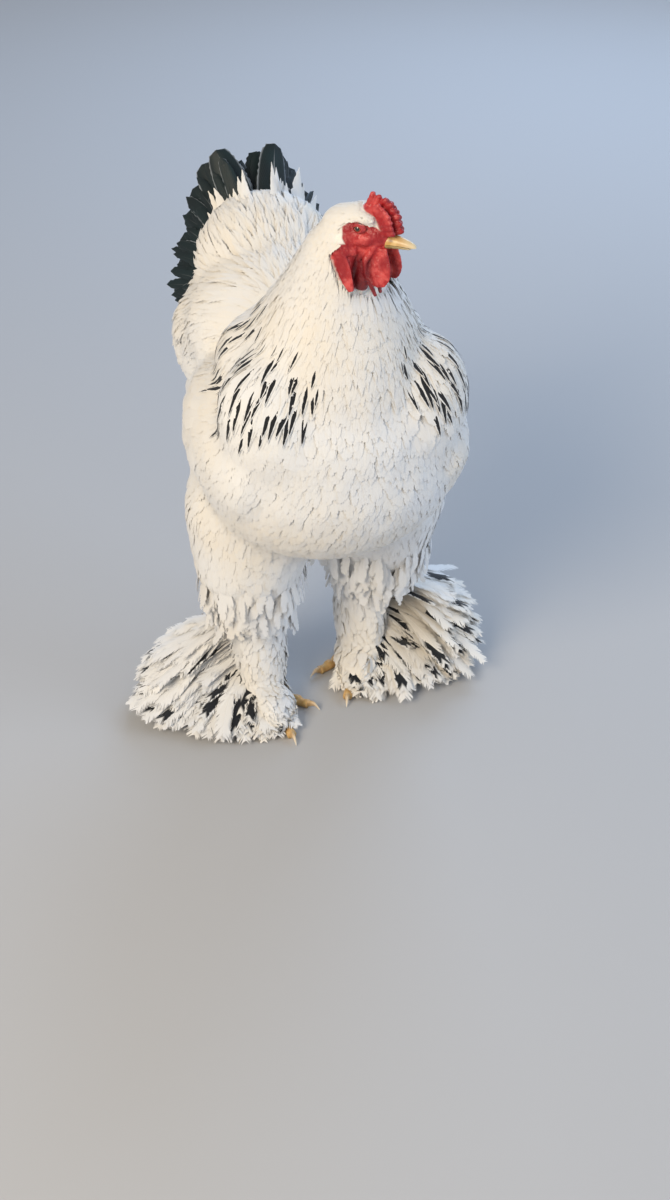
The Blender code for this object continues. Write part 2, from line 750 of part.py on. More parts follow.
# The boxes whose faces are the thin cuts: low and high corner, then turn in degrees and pivot.
NECK_BOX = ((-0.2, -0.20, 0.0), (0.2, 0.085, 0.4), (-14, 0, 0), (0, -0.030, 0.405))
SADDLE_BOX = ((-0.2, -0.065, 0.0), (0.2, 0.30, 0.4), (24, 0, 0), (0, 0.080, 0.385))
# The left thigh's box.
THIGH_LOW, THIGH_HIGH = Vector((0.012, -0.095, 0.10)), Vector((0.25, 0.125, 0.252))


def parted_body():
    """The blended body, and the named parts that thin cuts take off it."""
    trunk = body_clay()
    whole = new_object("whole_body", trunk.data.copy(), "plumage")
    as_helper(whole)
    head_side = slab_above("head_side", HEAD_CUT, HEAD_CUT_NORMAL, reach=0.1, depth=0.15)
    boolean(trunk, "DIFFERENCE", grown(head_side, GAP / 2))
    bake_modifiers(trunk)
    below_hock = box_cutter("below_hock", (-0.3, -0.3, -0.1), (0.3, 0.3, HOCK_HEIGHT + GAP / 2))
    boolean(trunk, "DIFFERENCE", below_hock)
    bake_modifiers(trunk)
    part_off(trunk, "neck", box_cutter("neck_box", *NECK_BOX))
    for side in (LEFT, RIGHT):
        part_off(trunk, f"wing_{SIDE_NAMES[side]}", wing_cutter(side))
    part_off(trunk, "saddle", box_cutter("saddle_box", *SADDLE_BOX))
    for side in (LEFT, RIGHT):
        near, far = sideways(THIGH_LOW, side), sideways(THIGH_HIGH, side)
        part_off(trunk, f"thigh_{SIDE_NAMES[side]}", box_cutter(f"thigh_box_{side}", near, far))
    trunk.name = "trunk"
    return whole


def settle_on_origin():
    """Moves everything so that the middle of the bounding box is over the origin."""
    shown = [obj for obj in bpy.data.objects if not obj.hide_render]
    corners = np.array([vertex.co for obj in shown for vertex in obj.data.vertices])
    middle = (corners.min(axis=0) + corners.max(axis=0)) / 2
    for obj in shown:
        obj.data.transform(Matrix.Translation((-middle[0], -middle[1], 0)))


def main():
    clear_scene()
    body = parted_body()
    neck = bpy.data.objects["neck"]
    for side in (LEFT, RIGHT):
        feet(side)
        tail_half(side, body)
    lobes = [ear_lobe(LEFT), ear_lobe(RIGHT)]
    hollow = throat()
    cut_clear(neck, [hollow, *lobes])
    bill = beak()
    crest = cut_clear(comb(), bill)
    skull = head([hollow, crest, *bill, eye(LEFT), eye(RIGHT), *lobes])
    for side in (LEFT, RIGHT):
        cut_clear(wattle(side), [skull, neck, *bill])
    settle_on_origin()


main()
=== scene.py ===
"""The looks of a light brahma cock, life size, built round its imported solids.

Units are metres and +Z is up. The bird faces -Y with its head turned to its left, which is +X.
One skin lies under a coat of modelled feathers. Places on the body are given in the plan's frame,
whose origin lies between the feet, and places on the head in the head's own frame, which faces -Y.
"""

import math

import bmesh
import bpy
import numpy as np
from mathutils import Matrix, Vector, noise
from mathutils.bvhtree import BVHTree

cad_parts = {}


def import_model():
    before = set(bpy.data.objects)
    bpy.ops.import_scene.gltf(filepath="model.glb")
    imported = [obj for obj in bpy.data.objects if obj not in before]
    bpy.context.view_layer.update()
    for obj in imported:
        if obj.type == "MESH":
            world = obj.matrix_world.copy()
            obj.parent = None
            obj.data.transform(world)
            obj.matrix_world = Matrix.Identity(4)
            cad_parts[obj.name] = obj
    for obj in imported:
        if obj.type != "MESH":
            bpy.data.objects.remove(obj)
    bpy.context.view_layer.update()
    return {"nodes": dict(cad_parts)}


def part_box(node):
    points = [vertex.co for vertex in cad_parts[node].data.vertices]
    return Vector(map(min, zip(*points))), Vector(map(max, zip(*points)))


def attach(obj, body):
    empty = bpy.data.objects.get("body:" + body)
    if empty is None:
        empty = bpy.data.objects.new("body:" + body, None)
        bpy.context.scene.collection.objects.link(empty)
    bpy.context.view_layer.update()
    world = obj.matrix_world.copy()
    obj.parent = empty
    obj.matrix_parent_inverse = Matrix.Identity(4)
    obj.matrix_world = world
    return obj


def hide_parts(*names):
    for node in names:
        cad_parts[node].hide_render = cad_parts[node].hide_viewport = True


SEED = 11
LEFT, RIGHT = 1, -1
SIDE_NAMES = {LEFT: "left", RIGHT: "right"}

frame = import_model()
random = np.random.default_rng(SEED)

# Frames

HEAD_TILT = math.radians(-5)
EYE_PLACE = Vector((0.0172, -0.0125, 0.0045))
EYE_RADIUS = 0.0056
HEAD_IN_PLAN = Vector((0.004, -0.100, 0.628))
NECK_TOP, NECK_LOW = Vector((-0.006, -0.080, 0.588)), Vector((-0.004, -0.072, 0.565))


def middle_of(node):
    low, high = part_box(node)
    return (low + high) / 2


def head_frame():
    """Where the head's own frame lies, read from the two eyes."""
    left, right = middle_of("eye_left"), middle_of("eye_right")
    turn = math.atan2(left.y - right.y, left.x - right.x)
    spin = Matrix.Rotation(turn, 4, "Z") @ Matrix.Rotation(HEAD_TILT, 4, "X")
    between = spin @ Vector((0, EYE_PLACE.y, EYE_PLACE.z))
    return Matrix.Translation((left + right) / 2 - between) @ spin


HEAD = head_frame()
PLAN = Matrix.Translation(HEAD.translation - HEAD_IN_PLAN)

FOOT_PLACE = {RIGHT: Vector((-0.062, 0.026, 0)), LEFT: Vector((0.062, 0.070, 0))}
FOOT_HEADING = {RIGHT: 0.0, LEFT: math.radians(-22)}
HOCK_HEIGHT = 0.140


def foot_frame(side):
    """The frame of one foot: X points outwards, Y backwards along the foot, Z up."""
    spin = Matrix.Rotation(FOOT_HEADING[side], 4, "Z")
    flip = Matrix.Diagonal((side, 1, 1, 1))
    return PLAN @ Matrix.Translation(FOOT_PLACE[side]) @ spin @ flip


def moved(matrix, points):
    """points, an array of rows, taken through a 4x4 matrix."""
    m = np.array(matrix, float)
    return np.asarray(points, float) @ m[:3, :3].T + m[:3, 3]


def turned(matrix, ways):
    return np.asarray(ways, float) @ np.array(matrix, float)[:3, :3].T


def unit(rows):
    return rows / np.maximum(np.linalg.norm(rows, axis=-1, keepdims=True), 1e-9)


def smoothstep(low, high, value):
    share = np.clip((value - low) / (high - low), 0, 1)
    return share * share * (3 - 2 * share)


# Camera, floor and lights

CAMERA_IN_PLAN = Vector((-0.5675, -1.7466, 1.3195))
CAMERA_AHEAD = Vector((0.26587, 0.79727, -0.54192))
CAMERA_SENSOR = 36.0
FOCAL_PIXELS = 1900
PHOTO_HEIGHT = 1200


def object_of(name, data):
    obj = bpy.data.objects.new(name, data)
    bpy.context.scene.collection.objects.link(obj)
    return obj


def aimed(name, data, place, ahead):
    """A camera or a light at place that points ahead."""
    obj = object_of(name, data)
    obj.location = place
    obj.rotation_mode = "QUATERNION"
    obj.rotation_quaternion = ahead.to_track_quat("-Z", "Y")
    return obj


def make_camera():
    data = bpy.data.cameras.new("camera")
    data.sensor_width = CAMERA_SENSOR
    data.lens = CAMERA_SENSOR * FOCAL_PIXELS / PHOTO_HEIGHT
    bpy.context.scene.camera = aimed("camera", data, PLAN @ CAMERA_IN_PLAN, CAMERA_AHEAD)


LIGHTS_AIM = Vector((0, 0, 0.35))
LIGHTS = {
    # place, size, watts and colour
    "key": ((-2.3, -1.9, 2.1), 1.8, 92, (1.0, 0.86, 0.66)),
    "fill": ((2.4, -1.5, 1.4), 2.4, 32, (0.60, 0.77, 1.0)),
    "rim": ((1.6, 2.2, 2.0), 1.8, 50, (0.50, 0.70, 1.0)),
}
FLOOR_SIZE, FLOOR_COLOUR, FLOOR_ROUGHNESS = 9, (0.50, 0.50, 0.505, 1), 0.9
SKY_COLOUR, SKY_STRENGTH = (0.86, 0.90, 0.98, 1), 0.40


def make_studio():
    bm = bmesh.new()
    bmesh.ops.create_grid(bm, x_segments=1, y_segments=1, size=FLOOR_SIZE)
    floor = object_from(bm, "floor")
    floor.data.materials.append(Finish("floor").done(FLOOR_COLOUR, {"Roughness": FLOOR_ROUGHNESS}))
    for name, (place, size, watts, colour) in LIGHTS.items():
        data = bpy.data.lights.new(name, "AREA")
        data.shape = "DISK"
        data.size = size
        data.energy = watts
        data.color = colour
        aimed(name, data, place, LIGHTS_AIM - Vector(place))
    world = bpy.data.worlds.new("studio")
    world.use_nodes = True
    sky = world.node_tree.nodes["Background"]
    sky.inputs["Color"].default_value = SKY_COLOUR
    sky.inputs["Strength"].default_value = SKY_STRENGTH
    bpy.context.scene.world = world
    bpy.context.scene.view_settings.view_transform = "Standard"


# Mesh helpers


def arrays_of(mesh):
    """Vertex places, their normals and the triangles of a mesh, as arrays."""
    mesh.calc_loop_triangles()
    points, normals = (np.empty(len(mesh.vertices) * 3) for _ in range(2))
    mesh.vertices.foreach_get("co", points)
    mesh.vertices.foreach_get("normal", normals)
    corners = np.empty(len(mesh.loop_triangles) * 3, np.int32)
    mesh.loop_triangles.foreach_get("vertices", corners)
    return points.reshape(-1, 3), normals.reshape(-1, 3), corners.reshape(-1, 3)


def mesh_of(name, points, corners):
    """A smooth mesh of triangles from arrays."""
    mesh = bpy.data.meshes.new(name)
    mesh.vertices.add(len(points))
    mesh.vertices.foreach_set("co", np.asarray(points, np.float32).ravel())
    mesh.loops.add(corners.size)
    mesh.loops.foreach_set("vertex_index", np.asarray(corners, np.int32).ravel())
    mesh.polygons.add(len(corners))
    mesh.polygons.foreach_set("loop_start", np.arange(0, corners.size, 3, dtype=np.int32))
    mesh.update(calc_edges=True)
    mesh.validate()
    mesh.shade_smooth()
    return mesh


def mesh_from(bm, name, matrix=None):
    """The mesh of bm, taken through matrix, with its faces pointing out."""
    mesh = bpy.data.meshes.new(name)
    if matrix is not None:
        bmesh.ops.transform(bm, matrix=matrix, verts=bm.verts)
    bmesh.ops.recalc_face_normals(bm, faces=bm.faces)
    bm.to_mesh(mesh)
    bm.free()
    return mesh


def object_from(bm, name, matrix=None):
    return object_of(name, mesh_from(bm, name, matrix))


def set_values(mesh, values):
    """Stores a number for each point of the mesh under each name of values."""
    for name, numbers in values.items():
        attribute = mesh.attributes.new(name, "FLOAT", "POINT")
        attribute.data.foreach_set("value", np.asarray(numbers, np.float32).ravel())


def piece_of(obj, finish, nodes=()):
    """Makes obj a piece of the model, which takes the place of the solids in nodes."""
    obj.data.materials.clear()
    obj.data.materials.append(finish)
    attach(obj, "root")
    if nodes:
        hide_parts(*nodes)


def with_modifiers(obj):
    """Applies the object's modifiers and returns it."""
    graph = bpy.context.evaluated_depsgraph_get()
    graph.update()
    mesh = bpy.data.meshes.new_from_object(obj.evaluated_get(graph))
    obj.modifiers.clear()
    obj.data = mesh
    return obj


# Sizes of the voxels that blend the outer form, the body, the skull, the whole head and the legs.
FORM_VOXEL, BODY_VOXEL, SKULL_VOXEL, HEAD_VOXEL, LEG_VOXEL = 0.0030, 0.0040, 0.0010, 0.00085, 0.0022


def remeshed(obj, voxel, smoothing):
    blend = obj.modifiers.new("blend", "REMESH")
    blend.mode = "VOXEL"
    blend.voxel_size = voxel
    smooth = obj.modifiers.new("smooth", "SMOOTH")
    smooth.factor = 0.5
    smooth.iterations = smoothing
    return with_modifiers(obj)


def combine(obj, operation, other):
    """Joins other to obj or cuts it away, and removes other."""
    step = obj.modifiers.new("combine", "BOOLEAN")
    step.operation = operation
    step.solver = "MANIFOLD"
    step.object = other
    with_modifiers(obj)
    bpy.data.objects.remove(other)
    return obj


def add_ball(bm, place, radii, detail=3):
    matrix = Matrix.Translation(place) @ Matrix.Diagonal((*radii, 1))
    bmesh.ops.create_icosphere(bm, subdivisions=detail, radius=1, matrix=matrix)


def add_limb(bm, joints, steps=9, detail=3):
    """A tapering limb through joints, each given as X, Y, Z and its radius."""
    for start, end in zip(joints, joints[1:]):
        for step in range(steps + 1):
            share = step / steps
            radius = start[3] + (end[3] - start[3]) * share
            add_ball(bm, Vector(start[:3]).lerp(Vector(end[:3]), share), [radius] * 3, detail)


def shares(steps):
    return [step / steps for step in range(steps + 1)]


def rings_of(rows, sides, place):
    """Rings of points, one for each of rows, from a function of the row and the turn round it."""
    turns = [2 * math.pi * index / sides for index in range(sides)]
    return [[place(row, turn) for turn in turns] for row in rows]


def bridged(rings, closed=False):
    """A bmesh of faces between rings of equal length: a tube with two caps, or a closed ring."""
    bm = bmesh.new()
    rows = [[bm.verts.new(point) for point in ring] for ring in rings]
    for row, following in zip(rows, rows[1:] + rows[:1] if closed else rows[1:]):
        for index in range(len(row)):
            after = (index + 1) % len(row)
            bm.faces.new((row[index], row[after], following[after], following[index]))
    if not closed:
        bm.faces.new(list(reversed(rows[0])))
        bm.faces.new(rows[-1])
    return bm


def loft(rings):
    """A closed tube through rings, whose caps are cut into triangles."""
    bm = bridged(rings)
    bmesh.ops.recalc_face_normals(bm, faces=bm.faces)
    bmesh.ops.triangulate(bm, faces=[face for face in bm.faces if len(face.verts) > 4])
    return bm


# Outer form of the plumage, and the lie of the feathers on it

PLUMED = ["neck", "trunk", "saddle", "head"]
for stem in ("wing", "thigh", "shank"):
    PLUMED += [f"{stem}_left", f"{stem}_right"]
LOBES = ["ear_lobe_left", "ear_lobe_right"]

BODY_LIES = [
    # zone, place, way that the feathers point, their length and width, and the coat's depth
    ("neck", (0, -0.115, 0.530), (0, -0.30, -0.95), 0.030, 0.0100, 0.008),
    ("neck", (0.050, -0.080, 0.530), (0.40, -0.05, -0.9), 0.030, 0.0100, 0.008),
    ("neck", (0, -0.010, 0.540), (0, 0.50, -0.86), 0.032, 0.0100, 0.008),
    ("neck", (0.090, -0.100, 0.450), (0.36, -0.12, -0.92), 0.040, 0.0140, 0.012),
    ("neck", (0.075, 0.020, 0.470), (0.50, 0.35, -0.80), 0.040, 0.0140, 0.012),
    ("breast", (0, -0.145, 0.440), (0, -0.28, -0.96), 0.036, 0.0145, 0.012),
    ("breast", (0, -0.162, 0.375), (0, 0.08, -1), 0.040, 0.0160, 0.013),
    ("breast", (0.075, -0.140, 0.370), (0.22, 0.05, -0.97), 0.040, 0.0160, 0.013),
    ("breast", (0, -0.125, 0.290), (0, 0.42, -0.90), 0.040, 0.0165, 0.014),
    ("breast", (0.085, -0.105, 0.290), (0.10, 0.42, -0.90), 0.040, 0.0165, 0.014),
    ("belly", (0, -0.060, 0.225), (0, 0.80, -0.60), 0.040, 0.0165, 0.014),
    ("belly", (0, 0.060, 0.195), (0, 0.95, -0.30), 0.040, 0.0165, 0.014),
    ("flank", (0.142, -0.045, 0.350), (0.08, 0.42, -0.90), 0.040, 0.0165, 0.013),
    ("flank", (0.140, 0.060, 0.290), (0.05, 0.45, -0.88), 0.042, 0.0170, 0.014),
    ("flank", (0.120, 0.130, 0.300), (0, 0.50, -0.86), 0.042, 0.0170, 0.014),
    ("wing", (0.146, 0.000, 0.405), (0.02, 0.80, -0.60), 0.032, 0.0170, 0.010),
    ("wing", (0.148, 0.080, 0.375), (-0.08, 0.93, -0.36), 0.038, 0.0180, 0.010),
    ("wing", (0.112, 0.160, 0.370), (-0.20, 0.92, -0.33), 0.040, 0.0180, 0.010),
    ("back", (0, 0.050, 0.500), (0, 0.95, 0.05), 0.042, 0.0170, 0.013),
    ("back", (0.070, 0.055, 0.475), (0.35, 0.80, -0.45), 0.042, 0.0170, 0.013),
    ("saddle", (0, 0.115, 0.500), (0, 0.92, 0.30), 0.052, 0.0165, 0.010),
    ("saddle", (0.065, 0.115, 0.480), (0.50, 0.70, -0.35), 0.058, 0.0165, 0.010),
    ("saddle", (0.110, 0.170, 0.415), (0.35, 0.50, -0.80), 0.064, 0.0160, 0.010),
    ("saddle", (0, 0.165, 0.545), (0, 0.30, 0.95), 0.050, 0.0150, 0.012),
    ("saddle", (0.060, 0.180, 0.520), (0.45, 0.35, 0.75), 0.050, 0.0150, 0.012),
    ("saddle", (0.090, 0.215, 0.460), (0.65, 0.65, -0.05), 0.052, 0.0150, 0.012),
    ("fluff", (0, 0.285, 0.420), (0, 0.60, -0.70), 0.044, 0.0170, 0.015),
    ("fluff", (0.090, 0.245, 0.380), (0.30, 0.45, -0.85), 0.046, 0.0170, 0.015),
    ("fluff", (0, 0.260, 0.330), (0, 0.30, -0.95), 0.046, 0.0175, 0.016),
    ("fluff", (0.070, 0.220, 0.290), (0.12, 0.25, -0.96), 0.046, 0.0175, 0.016),
    ("fluff", (0, 0.180, 0.230), (0, 0.60, -0.80), 0.044, 0.0170, 0.015),
    ("thigh", (0.080, -0.050, 0.230), (0.04, 0.05, -1), 0.036, 0.0150, 0.014),
    ("thigh", (0.150, 0.025, 0.235), (-0.05, 0.05, -1), 0.038, 0.0155, 0.014),
    ("thigh", (0.085, 0.105, 0.215), (0, 0.08, -1), 0.038, 0.0155, 0.014),
    ("thigh", (0.020, 0.030, 0.200), (0.05, 0, -1), 0.034, 0.0145, 0.013),
    ("thigh", (0.118, 0.040, 0.172), (0.05, 0, -1), 0.056, 0.0165, 0.012),
    ("thigh", (0.075, -0.030, 0.172), (0, -0.05, -1), 0.052, 0.0165, 0.012),
    ("thigh", (0.082, 0.090, 0.172), (0, 0.05, -1), 0.056, 0.0165, 0.012),
]

HEAD_LIES = [
    ("head", (0, -0.014, 0.026), (0, 1, 0.25), 0.0065, 0.0028, 0.0016),
    ("head", (0, 0.012, 0.024), (0, 1, -0.35), 0.0090, 0.0036, 0.0022),
    ("head", (0, 0.036, 0.004), (0, 0.35, -1), 0.0130, 0.0050, 0.0035),
    ("head", (0.016, -0.026, 0.006), (0.1, 1, 0.40), 0.0042, 0.0020, 0.0012),
    ("head", (0.019, -0.006, 0.014), (0.1, 1, -0.10), 0.0062, 0.0027, 0.0016),
    ("head", (0.022, 0.010, 0.004), (0.1, 0.8, -0.60), 0.0085, 0.0034, 0.0022),
    ("head", (0.025, 0.020, -0.015), (0, 0.25, -1), 0.0120, 0.0045, 0.0032),
    ("head", (0.028, 0.014, -0.045), (0.1, 0.15, -1), 0.0180, 0.0062, 0.0045),
    ("head", (0, 0.045, -0.035), (0, 0.30, -1), 0.0200, 0.0066, 0.0050),
    ("head", (0.022, -0.040, -0.085), (0.15, -0.2, -1), 0.0200, 0.0070, 0.0055),
    ("head", (0, -0.050, -0.090), (0, -0.3, -1), 0.0220, 0.0080, 0.0060),
]

FOOT_LIES = [
    # places and ways in the frame of the foot, whose Y points backwards
    ("shank", (0.048, 0, 0.120), (0.85, -0.10, -0.55), 0.046, 0.0130, 0.010),
    ("shank", (0.014, -0.036, 0.110), (0.45, -0.15, -0.88), 0.042, 0.0125, 0.010),
    ("shank", (-0.022, 0, 0.110), (0.02, -0.10, -1), 0.032, 0.0115, 0.011),
    ("shank", (0.014, 0.036, 0.110), (0.45, 0.20, -0.88), 0.040, 0.0120, 0.011),
    ("shank", (0.024, -0.046, 0.055), (0.50, -0.50, -0.70), 0.044, 0.0130, 0.008),
    ("shank", (-0.020, -0.010, 0.045), (-0.02, -0.30, -1), 0.026, 0.0110, 0.009),
    ("shank", (0.020, -0.070, 0.025), (0.20, -0.95, -0.20), 0.040, 0.0120, 0.006),
    ("shank", (-0.014, -0.050, 0.028), (-0.10, -0.90, -0.40), 0.030, 0.0110, 0.007),
]


# How softly one row of the tables gives way to the next.
LIE_REACH = 0.012


class Lie:
    """The outer form, with the way, size and depth of the feathers at each of its triangles."""

    def __init__(self, obj):
        points, normals, corners = arrays_of(obj.data)
        self.points, self.vertex_normal, self.corners = points, normals, corners
        self.centre = points[corners].mean(axis=1)
        rows = []
        for matrix, table, mirror in self.tables():
            for zone, place, way, *sizes in table:
                for side in (LEFT, RIGHT) if mirror and place[0] else (LEFT,):
                    flip = np.array([side, 1, 1])
                    at = moved(matrix, [np.array(place) * flip])[0]
                    to = unit(turned(matrix, [np.array(way) * flip]))[0]
                    rows.append((zone, at, to, sizes))
        zones, at, to, sizes = zip(*rows)
        self.zones = sorted(set(zones))
        label = np.array([self.zones.index(zone) for zone in zones])
        at, to, sizes = np.array(at), np.array(to), np.array(sizes)
        apart = ((points[:, None] - at) ** 2).sum(axis=2)
        weight = 1 / (apart + LIE_REACH**2) ** 2
        weight /= weight.sum(axis=1, keepdims=True)
        way = weight @ to
        way -= (way * normals).sum(axis=1, keepdims=True) * normals
        size = np.exp(weight @ np.log(sizes))
        nearest = label[weight.argmax(axis=1)]
        self.normal = unit(normals[corners].mean(axis=1))
        self.way = unit(unit(way)[corners].mean(axis=1))
        self.size = size[corners].mean(axis=1)
        self.zone = nearest[corners[:, 0]]
        self.vertex_depth = size[:, 2]
        edges = points[corners[:, 1]] - points[corners[:, 0]]
        others = points[corners[:, 2]] - points[corners[:, 0]]
        self.area = np.linalg.norm(np.cross(edges, others), axis=1) / 2
        self.tree = BVHTree.FromPolygons(points.tolist(), corners.tolist())

    def tables(self):
        yield PLAN, BODY_LIES, True
        yield HEAD, HEAD_LIES, True
        for side in (LEFT, RIGHT):
            yield foot_frame(side), FOOT_LIES, False

    def faces_of(self, *zones):
        return np.nonzero(np.isin(self.zone, [self.zones.index(zone) for zone in zones]))[0]

    def nearest(self, points):
        found = [self.tree.find_nearest(point)[:3:2] for point in points.tolist()]
        places = np.array([place[:] for place, _ in found])
        return places, np.array([face for _, face in found])

    def candidates(self, faces, count):
        """Random places on the given triangles, even by area, and the triangle of each."""
        weight = self.area[faces]
        chosen = faces[random.choice(len(faces), count, p=weight / weight.sum())]
        share = random.random((count, 2))
        over = share.sum(axis=1) > 1
        share[over] = 1 - share[over]
        a, b, c = self.points[self.corners[chosen]].swapaxes(0, 1)
        places = a + (b - a) * share[:, :1] + (c - a) * share[:, 1:]
        return places, chosen

    def scattered(self, faces, spacing):
        """Places that keep their spacing, which is one number or one for each triangle."""
        spacing = np.broadcast_to(spacing, self.area.shape)
        area = self.area[faces]
        wanted = (area / spacing[faces] ** 2).sum()
        places, chosen = self.candidates(faces, int(wanted * 4) + 20)
        gap = spacing[chosen]
        cell = gap.max()
        keys = np.floor(places / cell).astype(int).tolist()
        grid, kept = {}, []
        steps = (-1, 0, 1)
        around = [(a, b, c) for a in steps for b in steps for c in steps]
        for index, (place, key) in enumerate(zip(places.tolist(), keys)):
            limit = gap[index] ** 2
            near = (q for a, b, c in around for q in grid.get((key[0] + a, key[1] + b, key[2] + c), ()))
            if any((q[0] - place[0]) ** 2 + (q[1] - place[1]) ** 2 + (q[2] - place[2]) ** 2 < limit
                   for q in near):
                continue
            grid.setdefault(tuple(key), []).append(place)
            kept.append(index)
        return places[kept], chosen[kept]


def outer_form():
    bm = bmesh.new()
    for node in PLUMED + LOBES:
        bm.from_mesh(frame["nodes"][node].data)
    return remeshed(object_from(bm, "outer_form"), FORM_VOXEL, 6)


# Feathers as vanes


def spun(way, axis, angle):
    """way turned about axis, which is at right angles to it, by angle."""
    return way * np.cos(angle)[:, None] + np.cross(axis, way) * np.sin(angle)[:, None]


def grown(lie, places, faces, length, depth, yaw, steps, lift, start_depth=0.9, settle=1.5):
    """Shafts that start in the coat at places and follow the lie, with the facing of each point."""
    count = len(places)
    shaft = np.empty((count, steps + 1, 3))
    facing = np.empty_like(shaft)
    normal = lie.normal[faces]
    way = spun(lie.way[faces], normal, yaw)
    point = places
    for step in range(steps + 1):
        share = step / steps
        if step:
            point, faces = lie.nearest(point)
            normal = unit(normal + lie.normal[faces] * 1.5)
            wanted = spun(lie.way[faces], normal, yaw)
            way = way * 0.5 + wanted * 0.5
            way = unit(way - (way * normal).sum(axis=1, keepdims=True) * normal)
        sunk = depth * start_depth * (1 - share) ** settle
        height = lift * length * share**2 - sunk
        shaft[:, step] = point + normal * height[:, None]
        facing[:, step] = normal
        point = point + way * (length / steps)[:, None]
    return shaft, facing


def curved(root, bend, tip, steps):
    """Shafts on quadratic curves, given as arrays of rows."""
    share = np.linspace(0, 1, steps + 1)[None, :, None]
    root, bend, tip = (np.array(rows)[:, None, :] for rows in (root, bend, tip))
    return root * (1 - share) ** 2 + bend * (2 * share * (1 - share)) + tip * share**2


PROFILES = {
    # width at the root, where the full width is reached, and how late and how bluntly it ends
    "round": (0.25, 0.45, 3.4, 0.55),
    "lance": (0.45, 0.40, 2.5, 1.0),
    "blade": (0.30, 0.30, 6.0, 0.50),
}


def width_share(profile, along):
    """Share of a vane's full width at places along its shaft, from 0 at the root to 1 at the tip."""
    root, full, late, blunt = PROFILES[profile]
    rise = root + (1 - root) * smoothstep(0, full, along)
    return rise * (1 - along**late) ** blunt + 0.03


def vanes(shaft, facing, width, profile, columns=1, sweep=0.5, fray=0.25, camber=0.15, twist=0.05,
          soft=0.85):
    """Feather vanes on shafts, each with columns either side of the shaft and a frayed rim.

    sweep leans the barbs towards the tip, twist is how far the vanes turn on their shafts at
    random, and soft turns the shading towards the form's own.
    """
    count, stations = shaft.shape[:2]
    turns = random.normal(0, twist, count) if twist else None
    along = np.linspace(0, 1, stations)
    share = width_share(profile, along)
    half = np.array(width)[:, None] / 2 * share
    ahead = unit(np.gradient(shaft, axis=1))
    across = unit(np.cross(ahead, facing))
    up = np.cross(across, ahead)
    if twist:
        angle = turns[:, None, None]
        across, up = (across * np.cos(angle) + up * np.sin(angle),
                      up * np.cos(angle) - across * np.sin(angle))
    rows = np.arange(-columns, columns + 1) / columns
    out = half[:, :, None, None] * rows[:, None]
    size = np.abs(out)
    grid = shaft[:, :, None] + across[:, :, None] * out + ahead[:, :, None] * size * sweep
    grid = grid - up[:, :, None] * (camber * size * np.abs(rows)[:, None])
    rim, inner = grid[:, :, [0, -1]], grid[:, :, [1, -2]]
    depth = fray * random.random((count, stations - 1, 2, 1)) ** 1.4
    depth = depth * (0.45 + 0.75 * along[1:] ** 2)[:, None, None]
    notch = (rim[:, 1:] + rim[:, :-1]) / 2 * (1 - depth) + (inner[:, 1:] + inner[:, :-1]) / 2 * depth
    lean = across[:, :, None] * rows[:, None] * (0.35 + camber)
    shade = unit(unit(up[:, :, None] + lean) * (1 - soft) + facing[:, :, None] * soft)
    notch_shade = unit(shade[:, 1:, [0, -1]] + shade[:, :-1, [0, -1]])
    wide = len(rows)
    rim_share = 0.5 - 0.5 / columns * depth.reshape(count, -1)
    notch_u = 0.5 + rim_share * np.tile([-1, 1], stations - 1)
    u = np.concatenate([np.tile(0.5 + rows / 2, (count, stations)), notch_u], axis=1)
    v = np.concatenate([np.repeat(along, wide), np.repeat((along[1:] + along[:-1]) / 2, 2)])
    return {"points": np.concatenate([grid.reshape(count, -1, 3), notch.reshape(count, -1, 3)], axis=1),
            "normals": np.concatenate([shade.reshape(count, -1, 3),
                                       notch_shade.reshape(count, -1, 3)], axis=1),
            "corners": vane_corners(stations, wide),
            "vane": np.stack(np.broadcast_arrays(u, v), axis=2)}


def tinted(batch):
    """Gives each feather of the batch a random tint."""
    batch["tint"] = random.random(len(batch["points"]))
    return batch


def vane_corners(stations, wide):
    """Triangles of one vane: a grid whose outermost band runs through the notches of the rim."""
    corners = []
    last = wide - 1
    for step in range(stations - 1):
        here, there = step * wide, (step + 1) * wide
        for column in range(1, last - 1):
            a, b, c, d = here + column, here + column + 1, there + column + 1, there + column
            corners += [(a, b, c), (a, c, d)]
        low = stations * wide + step * 2
        corners += [(here + 1, low, here), (here + 1, there + 1, low), (there + 1, there, low)]
        high = low + 1
        a, b = here + last - 1, there + last - 1
        corners += [(a, here + last, high), (a, high, b), (b, high, there + last)]
    return np.array(corners)


# Size of a feather's patch on the OFBake map, the pitch of the map's cells and how many cells
# away a free one is looked for.
PATCH, PITCH, CELL_REACH = 0.003, 0.0034, 24
# How far above the floor the lowest points stay.
FLOOR_GAP = 0.0006


def patch_cells(places, centre, upright):
    """A free cell of the OFBake map for each root, nearest to its place on the form's unwrap.

    The unwrap is a cylinder round the centre's upright axis, or a globe round the centre.
    """
    away = places - centre
    turn = np.arctan2(away[:, 0], -away[:, 1]) / (2 * math.pi) + 0.5
    if upright:
        rise = away[:, 2]
    else:
        rise = np.arctan2(away[:, 2], np.hypot(away[:, 0], away[:, 1]))
    rise = (rise - rise.min()) / max(np.ptp(rise), 1e-6)
    cells = int(1 / PITCH) - 1
    wanted = np.floor(np.stack([turn, rise], axis=1) * (cells - 1)).astype(int)
    steps = range(-CELL_REACH, CELL_REACH + 1)
    ring = sorted(((a, b) for a in steps for b in steps),
                  key=lambda step: step[0] ** 2 + step[1] ** 2)
    taken, found = set(), []
    for a, b in wanted.tolist():
        for step in ring:
            cell = ((a + step[0]) % cells, min(max(b + step[1], 0), cells - 1))
            if cell not in taken:
                break
        taken.add(cell)
        found.append(cell)
    return np.array(found) * PITCH + PITCH


